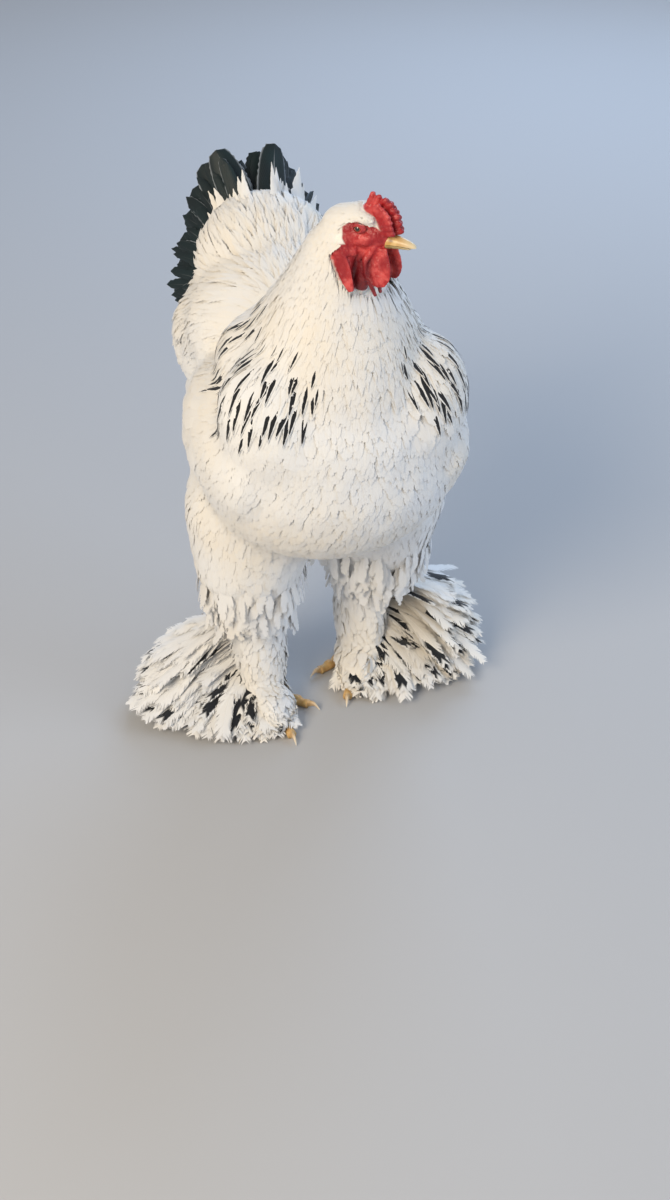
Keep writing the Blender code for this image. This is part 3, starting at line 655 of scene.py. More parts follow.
def coat_piece(name, batches, finish, centre, upright=True, nodes=()):
    """One object of many feathers, with the maps and attributes that its finish reads."""
    centre = np.array(centre, float)
    roots = np.concatenate([batch["points"][:, 0] for batch in batches])
    cells = patch_cells(roots, centre, upright)
    sizes = np.repeat([len(batch["vane"][0]) for batch in batches],
                      [len(batch["points"]) for batch in batches])
    points, normals, vane = (
        np.concatenate([batch[key].reshape(-1, width) for batch in batches])
        for key, width in (("points", 3), ("normals", 3), ("vane", 2)))
    starts = np.cumsum(sizes) - sizes
    corners, values, first = [], {"tint": [], "dark": []}, 0
    for batch in batches:
        count = len(batch["points"])
        offset = starts[first:first + count, None, None]
        corners.append((batch["corners"] + offset).reshape(-1, 3))
        for key, rows in values.items():
            rows.append(np.broadcast_to(batch.get(key, 0.0), count))
        first += count
    corners = np.concatenate(corners)
    points[:, 2] = np.maximum(points[:, 2], FLOOR_GAP)
    mesh = mesh_of(name, points, corners)
    bake = np.repeat(cells, sizes, axis=0) + PATCH * np.clip(vane, 0, 1)
    for layer, places in (("OFBake", bake), ("Vane", vane)):
        places = places[corners.ravel()].astype(np.float32)
        mesh.uv_layers.new(name=layer).data.foreach_set("uv", places.ravel())
    set_values(mesh, {key: np.repeat(np.concatenate(rows), sizes) for key, rows in values.items()})
    mesh.normals_split_custom_set_from_vertices(normals.astype(np.float32))
    piece_of(object_of(name, mesh), finish, nodes)
    print(f"{name}: {len(sizes)} feathers, {len(corners)} triangles")


# Materials


def sum_node(operation, turned_round=False):
    """An operator of Number that makes the node of an operation."""
    def made(self, other):
        values = (other, self) if turned_round else (self, other)
        return self.finish.math(operation, *values)
    return made


class Number:
    """A number worked out by nodes, with which others can be reckoned."""

    def __init__(self, finish, socket):
        self.finish, self.socket = finish, socket

    __add__ = sum_node("ADD")
    __radd__ = sum_node("ADD", True)
    __sub__ = sum_node("SUBTRACT")
    __rsub__ = sum_node("SUBTRACT", True)
    __mul__ = sum_node("MULTIPLY")


class Finish:
    """A material, with short calls for its nodes."""

    def __init__(self, name):
        self.material = bpy.data.materials.new(name)
        self.material.use_nodes = True
        self.tree = self.material.node_tree

    def node(self, kind, inputs, output=0, **settings):
        """A node's output. inputs gives numbers, colours or outputs of nodes by socket."""
        made = self.tree.nodes.new(kind)
        for key, value in settings.items():
            setattr(made, key, value)
        self.put(made, inputs)
        return Number(self, made.outputs[output])

    def put(self, made, inputs):
        for key, value in inputs.items():
            if isinstance(value, Number):
                self.tree.links.new(value.socket, made.inputs[key])
            else:
                made.inputs[key].default_value = value

    def math(self, operation, *values):
        return self.node("ShaderNodeMath", dict(enumerate(values)), operation=operation)

    def step(self, value, low, high):
        """0 below low and 1 above high, smooth between; low above high turns it round."""
        inputs = dict(enumerate((value, low, high, 0.0, 1.0)))
        return self.node("ShaderNodeMapRange", inputs, interpolation_type="SMOOTHSTEP")

    def mix(self, share, a, b):
        inputs = {"Factor": share, "A": a, "B": b}
        return self.node("ShaderNodeMix", inputs, "Result", data_type="RGBA")

    def place(self):
        return self.node("ShaderNodeTexCoord", {}, "Object")

    def noise(self, scale, detail=2.0):
        inputs = {"Vector": self.place(), "Scale": scale, "Detail": detail}
        return self.node("ShaderNodeTexNoise", inputs, "Fac")

    def attribute(self, name):
        return self.node("ShaderNodeAttribute", {}, "Fac", attribute_name=name)

    def vane(self):
        """Distance from the shaft, 0 to 1, and the place along it, 0 at the root."""
        where = self.node("ShaderNodeUVMap", {}, "UV", uv_map="Vane")
        across = self.node("ShaderNodeSeparateXYZ", {0: where}, "X")
        along = Number(self, across.socket.node.outputs["Y"])
        return self.math("ABSOLUTE", across - 0.5) * 2.0, along

    def bump(self, height, strength, distance):
        inputs = {"Height": height, "Strength": strength, "Distance": distance}
        return self.node("ShaderNodeBump", inputs, "Normal")

    def done(self, colour, settings):
        """The material, with the colour and other settings of its shader."""
        self.put(self.tree.nodes["Principled BSDF"], {"Base Color": colour, **settings})
        return self.material


WHITE, CREAM, COOL = (0.86, 0.85, 0.83, 1), (0.86, 0.80, 0.70, 1), (0.80, 0.83, 0.88, 1)
# the roots' colour is partly the down's own grey and partly painted shade where the feathers overlap
ROOT_GREY_AND_SHADE, SHAFT_HORN = (0.60, 0.57, 0.53, 1), (0.80, 0.74, 0.62, 1)
# GREEN_SHEEN_INK is a painted green sheen for the black feathers
INK, GREEN_SHEEN_INK = (0.010, 0.011, 0.014, 1), (0.012, 0.030, 0.032, 1)
PALE_EDGE, PALE_SHAFT = (0.55, 0.60, 0.66, 1), (0.50, 0.52, 0.54, 1)
BARBS, LEANING = 190.0, 42.0


def barb_height(f, out, along):
    """Fine ridges that lean from the shaft towards the tip, and the shaft itself."""
    ridges = f.math("SINE", along * BARBS - out * LEANING) * 0.5
    return ridges + f.step(out, 0.10, 0.02) * 2.0


def white_colour(f, out, along):
    """White plumage: cream where the noise of the body says so, and greyer towards the roots, partly the
    down's own grey and partly painted shade where the feathers overlap.
    """
    tone = f.mix(f.step(f.noise(7.0), 0.38, 0.62) * 0.80, WHITE, CREAM)
    tone = f.mix(f.attribute("tint") * 0.30, tone, COOL)
    # greyer towards the roots: partly the down's own grey, partly painted shade where the feathers overlap
    tone = f.mix(f.step(along, 0.55, 0.0) * 0.10, tone, ROOT_GREY_AND_SHADE)
    return f.mix(f.step(out, 0.07, 0.02) * 0.15, tone, SHAFT_HORN)


def plumage(name, pattern=None):
    """A finish for feathers. pattern gives the share of black from the nodes of the vane."""
    f = Finish(name)
    out, along = f.vane()
    tone = white_colour(f, out, along)
    if pattern:
        tone = f.mix(pattern(f, out, along), tone, INK)
    return f.done(tone, {"Normal": f.bump(barb_height(f, out, along), 0.25, 0.0002), "Roughness": 0.75,
                         "Sheen Weight": 0.25, "Sheen Roughness": 0.5, "Specular IOR Level": 0.25})


def stripe(f, out, along):
    """A black stripe along the shaft that leaves a white edge. It grows with the feather's dark."""
    dark = f.attribute("dark")
    grow = f.step(along - (0.78 - dark * 0.36), 0.0, 0.18)
    wide = (0.16 + dark * 0.56) * grow * f.step(along, 1.0, 0.90)
    return f.step(out - wide, 0.05, -0.05) * (f.step(dark, 0.0, 0.5) * f.step(grow, 0.0, 0.3))


def splotch(f, out, along):
    """A ragged black streak along the shaft of a marked feather, with a white rim and tip."""
    band = f.step(out + (f.noise(90.0, 3.0) - 0.5) * 1.4, 0.78, 0.66)
    return band * (f.step(along, 0.24, 0.42) * f.step(along, 0.92, 0.84)) * f.attribute("dark")


def black_plumage():
    f = Finish("tail_plumage")
    out, along = f.vane()
    # patches of painted green sheen, mixed into the black by noise
    tone = f.mix(f.noise(30.0), INK, GREEN_SHEEN_INK)
    tone = f.mix(f.step(out, 0.86, 0.97) * f.attribute("dark"), tone, PALE_EDGE)
    shaft = f.step(out, 0.045, 0.02) * f.step(along, 1.0, 0.7)
    tone = f.mix(shaft * f.attribute("tint"), tone, PALE_SHAFT)
    return f.done(tone, {"Normal": f.bump(barb_height(f, out, along), 0.35, 0.0003), "Roughness": 0.42,
                         "Specular IOR Level": 0.30, "Sheen Weight": 0.03,
                         "Sheen Tint": (0.5, 0.8, 0.9, 1)})


def skin_finish():
    """White under the plumage, red and grained where it is bare, and yellow on the toes, with painted shade
    in the hollow of the throat.
    """
    f = Finish("skin")
    red = f.mix(f.step(f.noise(150.0, 3.0), 0.3, 0.7), (0.42, 0.016, 0.020, 1), (0.68, 0.095, 0.090, 1))
    red = f.mix(f.step(f.noise(48.0), 0.42, 0.70), red, (0.33, 0.012, 0.018, 1))
    down = f.mix(f.noise(60.0), (0.86, 0.84, 0.80, 1), (0.82, 0.78, 0.71, 1))
    scale = f.mix(f.noise(160.0), (0.62, 0.36, 0.12, 1), (0.74, 0.50, 0.22, 1))
    tone = f.mix(f.attribute("bare"), down, red)
    tone = f.mix(f.attribute("scaly"), tone, scale)
    # painted shade: dark maroon in the hollow of the throat behind the wattles
    tone = f.mix(f.attribute("throat_shade"), tone, (0.13, 0.008, 0.014, 1))
    cells = f.node("ShaderNodeTexVoronoi", {"Vector": f.place(), "Scale": 620}, "Distance",
                   feature="SMOOTH_F1")
    return f.done(tone, {"Normal": f.bump(cells * -1.0 + f.noise(900.0) * 0.5, 0.55, 0.0006),
                         "Roughness": 0.42, "Subsurface Weight": 0.12, "Subsurface Scale": 0.6,
                         "Subsurface Radius": (0.004, 0.001, 0.0006)})


def horn_finish(name, low, high, tip):
    """Horn whose colour runs from low to high in fine streaks and pales towards its tip, with a dark spot
    of painted shade for the opening of the nostril.
    """
    f = Finish(name)
    tone = f.mix(f.step(f.noise(170.0, 4.0), 0.35, 0.7), low, high)
    tone = f.mix(f.attribute("tip"), tone, tip)
    # painted shade where the nostril opens
    tone = f.mix(f.attribute("nostril_shade"), tone, (0.10, 0.035, 0.015, 1))
    return f.done(tone, {"Normal": f.bump(f.noise(420.0, 3.0), 0.30, 0.0004), "Roughness": 0.36,
                         "Coat Weight": 0.15, "Coat Roughness": 0.3})


def eye_finish():
    """An orange iris round a dark pupil, from the distance to the axis of the eye."""
    f = Finish("eye")
    out = f.attribute("axis")
    iris = f.mix(f.step(f.noise(900.0, 3.0), 0.3, 0.7), (0.16, 0.035, 0.008, 1), (0.30, 0.075, 0.014, 1))
    iris = f.mix(f.step(out, 0.52, 0.66), iris, (0.06, 0.014, 0.006, 1))
    tone = f.mix(f.step(out, 0.40, 0.34), iris, (0.004, 0.003, 0.003, 1))
    return f.done(tone, {"Roughness": 0.10, "Coat Weight": 1.0, "Coat Roughness": 0.03})


# Skin of the body, head and feet

THROAT_PLACE, THROAT_RADII = Vector((0, -0.030, -0.046)), (0.0270, 0.0330, 0.0260)

FACE_OUTLINE = [
    # edge of the bare face seen from the side, as Y and Z in the head's frame
    (-0.040, -0.0010), (-0.031, 0.0005), (-0.022, 0.0062), (-0.012, 0.0104), (-0.003, 0.0100),
    (0.0048, 0.0045), (0.0040, -0.0060), (0.0012, -0.0115), (0.0150, -0.0125), (0.0168, -0.0220),
    (0.0130, -0.0360), (0.0065, -0.0500), (-0.0010, -0.0610), (-0.0100, -0.0660),
    (-0.0190, -0.0730), (-0.0300, -0.0680), (-0.0440, -0.0600), (-0.0620, -0.0500),
    (-0.0620, -0.0050),
]

COMB_FRONT, COMB_BACK = Vector((0, -0.0370, -0.0025)), Vector((0, -0.0160, 0.0225))
COMB_BULGE = Vector((0, -0.0040, 0.0040))
COMB_HEIGHT, COMB_WIDTH = 0.0132, 0.0035
COMB_ROWS = [
    # offset to the side, share of the full height, lumps, lean outwards
    (0.0, 1.0, 8, 0.0),
    (0.0068, 0.62, 7, 0.30),
    (-0.0068, 0.62, 7, -0.30),
]


def outline_depth(points, outline):
    """How far each point, given as Y and Z, lies inside the outline; negative outside it."""
    corners = np.array(outline)
    inside = np.zeros(len(points), bool)
    nearest = np.full(len(points), 1.0)
    for a, b in zip(corners, np.roll(corners, -1, axis=0)):
        crosses = (a[1] > points[:, 1]) != (b[1] > points[:, 1])
        slope = (b[0] - a[0]) * (points[:, 1] - a[1]) / (b[1] - a[1] + 1e-12) + a[0]
        inside ^= crosses & (points[:, 0] < slope)
        edge = b - a
        share = np.clip(((points - a) @ edge) / (edge @ edge), 0, 1)
        apart = np.linalg.norm(points - a - share[:, None] * edge, axis=1)
        nearest = np.minimum(nearest, apart)
    return np.where(inside, nearest, -nearest)


def comb_base(share):
    return COMB_FRONT.lerp(COMB_BACK, share) + COMB_BULGE * math.sin(math.pi * share)


def bareness(points):
    """1 on the comb and the bare face and throat, 0 under the plumage, given world places."""
    local = moved(HEAD.inverted(), points)
    depth = outline_depth(local[:, 1:], FACE_OUTLINE)
    face = smoothstep(-0.0008, 0.0008, depth) * (np.abs(local[:, 0]) < 0.045)
    comb = np.zeros(len(points))
    for share in np.linspace(0, 0.85, 12):
        base = np.array(comb_base(share))
        apart = np.linalg.norm((local - base) * np.array([0.9, 1, 1]), axis=1)
        ahead = (local - base) @ np.array([0, -0.7, 0.7])
        comb = np.maximum(comb, smoothstep(0.0115, 0.0095, apart - np.maximum(ahead, 0) * 0.6))
    return np.clip(np.maximum(face, comb), 0, 1)


def body_skin(lie):
    """The skin under the plumage: the outer form drawn in by the depth of the coat."""
    drawn = lie.points - lie.vertex_normal * lie.vertex_depth[:, None]
    return remeshed(object_of("skin", mesh_of("skin", drawn, lie.corners)), BODY_VOXEL, 4)


HEAD_BALLS = [
    # places and radii in the head's frame
    ((0, 0.008, -0.002), (0.0215, 0.0275, 0.0205)),
    ((0, -0.014, -0.008), (0.0168, 0.0235, 0.0175)),
    ((0, -0.027, -0.009), (0.0108, 0.0120, 0.0108)),
    ((0, -0.009, 0.009), (0.0165, 0.0235, 0.0140)),
    ((0, 0.020, -0.022), (0.0230, 0.0235, 0.0260)),
    ((0, -0.008, -0.024), (0.0145, 0.0195, 0.0175)),
]


def comb_clay(bm):
    wobble = np.random.default_rng(SEED + 1)
    for offset, height, count, lean in COMB_ROWS:
        for index in range(count):
            share = index / (count - 1) * (0.72 if offset else 1)
            base = comb_base(share)
            base.x = offset + float(wobble.normal(0, 0.0004))
            rise = math.radians(4 + 62 * share)
            way = Vector((lean, -math.cos(rise), math.sin(rise))).normalized()
            reach = COMB_HEIGHT * height * (0.84 + 0.16 * math.sin(math.pi * (0.1 + 0.8 * share)))
            reach *= float(wobble.uniform(0.92, 1.02))
            add_limb(bm, [(*(base - way * 0.005), COMB_WIDTH * 1.3),
                          (*(base + way * reach * 0.7), COMB_WIDTH),
                          (*(base + way * reach), COMB_WIDTH * 0.84)], 5, 2)


def wattle_clay(side):
    """A thin rounded lobe with a rolled rim and soft folds."""
    def place(share, turn):
        forward, out = math.cos(turn), math.sin(turn)
        profile = math.sin(math.pi * (0.12 + 0.84 * share**1.5)) ** 0.45
        thick = (0.0019 + 0.0011 * abs(forward) ** 4) * (1.15 - 0.35 * share)
        fold = 0.0011 * math.sin(forward * 5.5 + side + share * 2.2) * (1 - abs(forward) ** 3)
        centre = Vector((side * (0.0092 + 0.0040 * share), -0.0285 + 0.002 * share,
                         -0.0170 - 0.0390 * share))
        return centre + Vector((side * (out * thick + fold * share), forward * 0.0136 * profile, 0))
    return loft(rings_of(shares(26), 28, place))


def lobe_clay(side):
    """The long red lobe under the ear, thick along its hinder edge and hollow before it."""
    slope = Vector((0, 1, -0.2)).normalized()

    def place(share, turn):
        back, out = math.cos(turn), math.sin(turn)
        hind = min(1.0, max(0.0, (back + 0.2) / 1.2))
        thick = 0.0022 + 0.0019 * hind * hind + 0.0007 * math.sin(9 * share + back)
        hollow = -0.0016 * math.sin(math.pi * (back + 1) / 2)
        reach = back * 0.0078 * math.sin(math.pi * (0.14 + 0.80 * share)) ** 0.65
        centre = Vector((side * (0.0262 - 0.0014 * share), 0.0092 - 0.0115 * share,
                         -0.0145 - 0.0450 * share))
        return centre + slope * reach + Vector((side * (out * thick + hollow), 0, 0))
    return loft(rings_of(shares(26), 28, place))


def head_skin():
    """The head with its comb, wattles and lobes, finely modelled."""
    to_head = HEAD.inverted() @ PLAN
    bm = bmesh.new()
    for place, radii in HEAD_BALLS:
        add_ball(bm, place, radii, 4)
    for side in (LEFT, RIGHT):
        add_ball(bm, (side * 0.0138, -0.0130, 0.0108), (0.0052, 0.0150, 0.0044))
        add_ball(bm, (side * 0.0140, -0.0115, -0.0080), (0.0064, 0.0145, 0.0080))
    add_limb(bm, [(*(to_head @ NECK_LOW), 0.0330), (*(to_head @ NECK_TOP), 0.0320),
                  (-0.004, 0.012, -0.014, 0.0225)], 9, 4)
    skull = remeshed(object_from(bm, "head_skin"), SKULL_VOXEL, 6)
    bm = bmesh.new()
    add_ball(bm, THROAT_PLACE, THROAT_RADII, 5)
    combine(skull, "DIFFERENCE", object_from(bm, "throat"))
    parts = bmesh.new()
    parts.from_mesh(skull.data)
    # the gullet inside the throat
    add_limb(parts, [(0, -0.008, -0.020, 0.0120), (-0.002, -0.005, -0.046, 0.0105),
                     (-0.004, 0.002, -0.064, 0.0085)], 10, 3)
    for side in (LEFT, RIGHT):
        for shape in (wattle_clay(side), lobe_clay(side)):
            parts.from_mesh(mesh_from(shape, "lobe"))
        # the fold of skin from the corner of the bill down to the lobe
        add_limb(parts, [(side * 0.0110, -0.0240, -0.0170, 0.0042),
                         (side * 0.0150, -0.0150, -0.0290, 0.0032),
                         (side * 0.0110, -0.0130, -0.0460, 0.0028),
                         (side * 0.0050, -0.0180, -0.0680, 0.0022)], 9, 2)
        add_limb(parts, [(side * 0.0150, -0.0020, -0.0200, 0.0070),
                         (side * 0.0210, 0.0040, -0.0200, 0.0060)], 5, 2)
    comb_clay(parts)
    skull.data = mesh_from(parts, "head_skin")
    return remeshed(skull, HEAD_VOXEL, 3)


EYE_OPENING = (0.0042, 0.0033)
LID_SECTION = [
    # share of the opening's size, distance from the middle of the eye
    (0.98, 0.0050), (0.96, 0.0058), (1.00, 0.0063), (1.12, 0.0066), (1.28, 0.0065), (1.50, 0.0062),
    (1.75, 0.0056), (1.75, 0.0046), (1.30, 0.0046),
]


def eye_place(side):
    return Vector((side * EYE_PLACE.x, EYE_PLACE.y, EYE_PLACE.z))


def lid_clay(side):
    """The two lids of an eye as one ring, from inside the ball's surface out into the face."""
    def place(row, turn):
        size, distance = row
        along, rise = math.cos(turn), math.sin(turn)
        y = along * EYE_OPENING[0] * size
        z = rise * EYE_OPENING[1] * size * (1 - 0.18 * abs(along) ** 1.4)
        if rise > 0:
            z *= 0.86
        x = math.sqrt(max(distance**2 - y * y - z * z, 1e-8))
        return eye_place(side) + Vector((side * x, y, z))
    return bridged(rings_of(LID_SECTION, 56, place), closed=True)


TOES = {
    # angle outwards, start and end from the middle of the foot, radius at the root
    "inner": (-42, 0.014, 0.074, 0.0080),
    "middle": (-1, 0.012, 0.112, 0.0085),
    "outer": (34, 0.014, 0.106, 0.0078),
    "hind": (-168, 0.004, 0.046, 0.0070),
}
CLAW_LENGTH = 0.017
PLATE_LENGTH, STEPS_A_PLATE = 0.0042, 5


def toe_axis(which):
    """The way of a toe and the way across it, its start, the root of its claw, and its radius."""
    degrees, start, end, radius = TOES[which]
    way = Vector((math.sin(math.radians(degrees)), -math.cos(math.radians(degrees)), 0))
    return way, Vector((-way.y, way.x, 0)), start, end - CLAW_LENGTH, radius


def toe_clay(which):
    """A toe in its foot's frame, with plates across its top and pads under it."""
    way, across, start, end, radius = toe_axis(which)
    steps = max(6, round((end - start) / PLATE_LENGTH)) * STEPS_A_PLATE

    def place(step, turn):
        share = step / steps
        within = (step % STEPS_A_PLATE) / STEPS_A_PLATE
        knuckle = 2 * math.pi * 3 * share
        size = radius * 0.94 * (1 - 0.34 * share) * (1 + 0.09 * math.cos(knuckle))
        side, up = math.cos(turn), math.sin(turn)
        plate = 1 + 0.085 * max(0.0, up) ** 0.6 * (0.5 - within)
        pad = 1 + 0.05 * max(0.0, -up) * math.sin(knuckle)
        centre = way * (start + (end - start) * share)
        centre.z = size * 0.88
        point = centre + across * (side * size * 0.96 * plate)
        point = point + Vector((0, 0, up * size * plate * pad))
        point.z = max(point.z, FLOOR_GAP)
        return point
    return loft(rings_of(range(steps + 1), 24, place))


def claw_rings(which):
    way, across, _, end, radius = toe_axis(which)
    root = radius * 0.60

    def place(share, turn):
        side, up = math.cos(turn), math.sin(turn)
        size = root * (1 - share) ** 0.75 + 0.0003
        drop = 0.0040 * math.sin(math.pi * share * 0.9) ** 2
        height = root * 0.98 * (1 - share) + drop + 0.0012
        point = way * (end + (CLAW_LENGTH - 0.0004) * share - 0.0012 * (1 - share))
        point = point + across * (side * size * (0.66 if up > 0 else 0.52))
        point.z = max(height + up * size * 0.95, FLOOR_GAP)
        return point
    return rings_of(shares(16), 16, place)


def leg_clay(side):
    """The lower leg and the middle of the foot, under the feathers, in the world."""
    bm = bmesh.new()
    add_limb(bm, [(0.012, 0.004, HOCK_HEIGHT + 0.03, 0.0180), (0.010, 0.004, HOCK_HEIGHT, 0.0155),
                  (0.006, 0.004, 0.090, 0.0105), (0.003, 0.002, 0.040, 0.0105),
                  (0.000, 0.000, 0.0165, 0.0125)], 12, 3)
    add_ball(bm, (0, -0.012, 0.0115), (0.0150, 0.0200, 0.0105))
    return remeshed(object_from(bm, "leg", foot_frame(side)), LEG_VOXEL, 4)


def weathered(points):
    """How far world places of the head move out for the folds and small lumps of the bare skin."""
    bare = bareness(points)
    local = moved(HEAD.inverted(), points)
    lumps = np.zeros(len(points))
    for index in np.nonzero(bare > 0.05)[0]:
        place = Vector(local[index])
        coarse = noise.noise(place * 230)
        fine = noise.noise(place * 620 + Vector((3, 1, 7)))
        fold = abs(noise.noise(Vector((place.x * 90, place.y * 260, place.z * 90)) + Vector((9, 2, 4))))
        lumps[index] = 0.00042 * coarse + 0.00026 * fine - 0.00060 * max(0.0, 0.25 - fold) * 2
    return lumps * bare


def make_skin(lie, finish):
    obj = body_skin(lie)
    head = head_skin()
    points, normals, corners = arrays_of(head.data)
    world = moved(HEAD, points)
    world = world + turned(HEAD, normals) * weathered(world)[:, None]
    head.data = mesh_of("head_skin", world, corners)
    combine(obj, "UNION", head)
    for side in (LEFT, RIGHT):
        combine(obj, "UNION", leg_clay(side))
        for which in TOES:
            combine(obj, "UNION", object_from(toe_clay(which), "toe", foot_frame(side)))
    bm = bmesh.new()
    bm.from_mesh(obj.data)
    for side in (LEFT, RIGHT):
        bm.from_mesh(mesh_from(lid_clay(side), "lids", HEAD))
    bmesh.ops.triangulate(bm, faces=bm.faces)
    bm.to_mesh(obj.data)
    bm.free()
    mesh = obj.data
    mesh.name = "skin"
    points, _, corners = arrays_of(mesh)
    bare, scaly = bareness(points), np.zeros(len(points))
    for side in (LEFT, RIGHT):
        local = moved(foot_frame(side).inverted(), points)
        near = (np.abs(local[:, :2]) < 0.12).all(axis=1)
        scaly = np.maximum(scaly, near * smoothstep(0.10, 0.08, local[:, 2]))
    local = moved(HEAD.inverted(), points)
    # the hollow of the throat behind the wattles, where painted shade darkens the bare skin
    within = smoothstep(0.0215, 0.0130, np.abs(local[:, 0])) * smoothstep(-0.026, -0.016, local[:, 1])
    throat_shade = 0.8 * bare * within * smoothstep(-0.020, -0.030, local[:, 2])
    set_values(mesh, {"bare": bare, "scaly": scaly, "throat_shade": throat_shade})
    mesh.shade_smooth()
    paired = [f"wattle_{name}" for name in SIDE_NAMES.values()]
    paired += [f"toe_{which}_{name}" for which in TOES for name in SIDE_NAMES.values()]
    piece_of(obj, finish, PLUMED + LOBES + ["comb"] + paired)
    print(f"skin: {len(corners)} triangles")


# Bill, claws and eyes

NOSTRIL, NOSTRIL_SIZE = Vector((0, -0.0400, -0.0095)), 0.0012
BILL_DROP = 0.0032


def horn_piece(name, rings, matrix, finish, node):
    """A loft of horn. Each point carries how near it lies to the tip and to the nostril, whose opening is
    painted as a dark spot of shade.
    """
    mesh = mesh_from(bridged(rings), name, matrix)
    points = np.array(rings)
    aside = np.hypot((points[..., 1] - NOSTRIL.y) / 2, points[..., 2] - NOSTRIL.z)
    set_values(mesh, {"tip": np.repeat(np.linspace(0, 1, len(rings)) ** 2, len(rings[0])),
                      "nostril_shade": np.exp(-(aside / NOSTRIL_SIZE) ** 2)})
    mesh.shade_smooth()
    mesh.set_sharp_from_angle(angle=math.radians(60))
    piece_of(object_of(name, mesh), finish, [node])


def bill_rings(half, root_y, tip_y, root_z, root_width, root_depth):
    """Rings of one half of the bill. half is 1 for the upper and -1 for the lower."""
    rings, sides, under = [], 14, 6
    for share in shares(26):
        y = root_y + (tip_y - root_y) * share
        z = root_z - BILL_DROP * share**2
        taper = (1 - share) ** 0.45 * 0.92 + 0.08
        width, depth = root_width * taper, root_depth * taper
        ring = []
        for turn in np.linspace(0, math.pi, sides + 1):
            arch = abs(math.sin(turn)) ** 0.8 * depth * half
            ridge = 0.0006 * math.exp(-((turn - math.pi / 2) / 0.25) ** 2) * (1 - share) * half
            ring.append((width * math.cos(turn), y, z + arch + ridge))
        for index in range(1, under):
            ring.append((-width * (1 - 2 * index / under) * 0.94, y, z + half * 0.00018))
        rings.append(ring)
    return rings


UPPER_HORN = (0.58, 0.33, 0.09, 1), (0.74, 0.50, 0.20, 1), (0.78, 0.66, 0.44, 1)
# the lower bill is darker than the upper: painted shade under the upper bill
SHADED_LOWER_HORN = (0.34, 0.25, 0.09, 1), (0.56, 0.42, 0.18, 1), (0.62, 0.52, 0.32, 1)
CLAW_HORN = (0.55, 0.34, 0.14, 1), (0.72, 0.50, 0.26, 1), (0.82, 0.74, 0.60, 1)


def make_horn():
    upper = bill_rings(1, -0.034, -0.0640, -0.0138, 0.0080, 0.0090)
    lower = bill_rings(-1, -0.033, -0.0585, -0.0145, 0.0070, 0.0050)
    horn_piece("bill_upper", upper, HEAD, horn_finish("bill", *UPPER_HORN), "beak_upper")
    horn_piece("bill_lower", lower, HEAD, horn_finish("lower_bill_shaded", *SHADED_LOWER_HORN), "beak_lower")
    claw = horn_finish("claws", *CLAW_HORN)
    for side in (LEFT, RIGHT):
        for which in TOES:
            name = f"{which}_{SIDE_NAMES[side]}"
            horn_piece(f"nail_{name}", claw_rings(which), foot_frame(side), claw, f"claw_{name}")


CORNEA_BULGE, CORNEA_EDGE = 0.00045, 0.62


def make_eyes():
    finish = eye_finish()
    for side in (LEFT, RIGHT):
        centre = HEAD @ eye_place(side)
        look = np.array((HEAD.to_3x3() @ Vector((side, -0.12, 0.04))).normalized())
        bm = bmesh.new()
        add_ball(bm, centre, [EYE_RADIUS] * 3, 5)
        obj = object_from(bm, f"eyeball_{SIDE_NAMES[side]}")
        points, _, _ = arrays_of(obj.data)
        away = (points - np.array(centre)) / EYE_RADIUS
        ahead = away @ look
        out = np.linalg.norm(away - ahead[:, None] * look, axis=1)
        bulge = CORNEA_BULGE * smoothstep(CORNEA_EDGE, 0.0, out) * (ahead > 0)
        points = points + look * bulge[:, None]
        obj.data.vertices.foreach_set("co", points.astype(np.float32).ravel())
        set_values(obj.data, {"axis": np.where(ahead > 0, out, 1.0)})
        obj.data.shade_smooth()
        piece_of(obj, finish, [f"eye_{SIDE_NAMES[side]}"])


# Coat

LAYERS = {"head": 9.0, "neck": 10.0, "breast": 15.0, "belly": 12.0, "flank": 14.0, "wing": 10.0,
          "back": 12.0, "saddle": 14.0, "fluff": 14.0, "thigh": 14.0, "shank": 14.0}
FRAY = {"head": 0.4, "wing": 0.20, "saddle": 0.50}
# Share of the tabled width that a zone's feathers have.
SLIM = {"breast": 0.58, "belly": 0.6, "flank": 0.6, "fluff": 0.6, "back": 0.65, "saddle": 0.65,
        "thigh": 0.8, "wing": 0.8}
# Distances between the roots of the cuffs, the wing quills, the hackle and its striped feathers.
CUFF_SPACING, QUILL_SPACING, HACKLE_SPACING, STRIPED_SPACING = 0.0042, 0.0165, 0.0062, 0.0096


def plumed_places(lie, zone):
    """Roots in a zone and the triangle of each, clear of the bare skin."""
    faces = lie.faces_of(zone)
    faces = faces[bareness(lie.centre[faces]) < 0.5]
    spacing = np.sqrt(lie.size[:, 0] * lie.size[:, 1] * SLIM.get(zone, 1) * 0.7 / LAYERS[zone])
    places, faces = lie.scattered(faces, spacing)
    keep = bareness(places) < 0.35
    return places[keep], faces[keep]


def body_batch(lie, zone, profile="round", steps=9, soft=0.93, jitter=0.16, lift=0.012):
    places, faces = plumed_places(lie, zone)
    count = len(places)
    length, width, depth = lie.size[faces].T
    length = length * random.uniform(0.85, 1.15, count)
    width = width * random.uniform(0.85, 1.15, count) * SLIM.get(zone, 1)
    yaw = random.normal(0, jitter, count)
    rise = lift + 0.03 * random.random(count) ** 6
    shaft, facing = grown(lie, places, faces, length, depth, yaw, steps, rise, 0.5, 2.2)
    shaft = shaft - facing * (random.uniform(0, 0.06, count) * width)[:, None, None]
    return tinted(vanes(shaft, facing, width, profile, sweep=0.85, fray=FRAY.get(zone, 0.48),
                        camber=0.10, soft=soft))


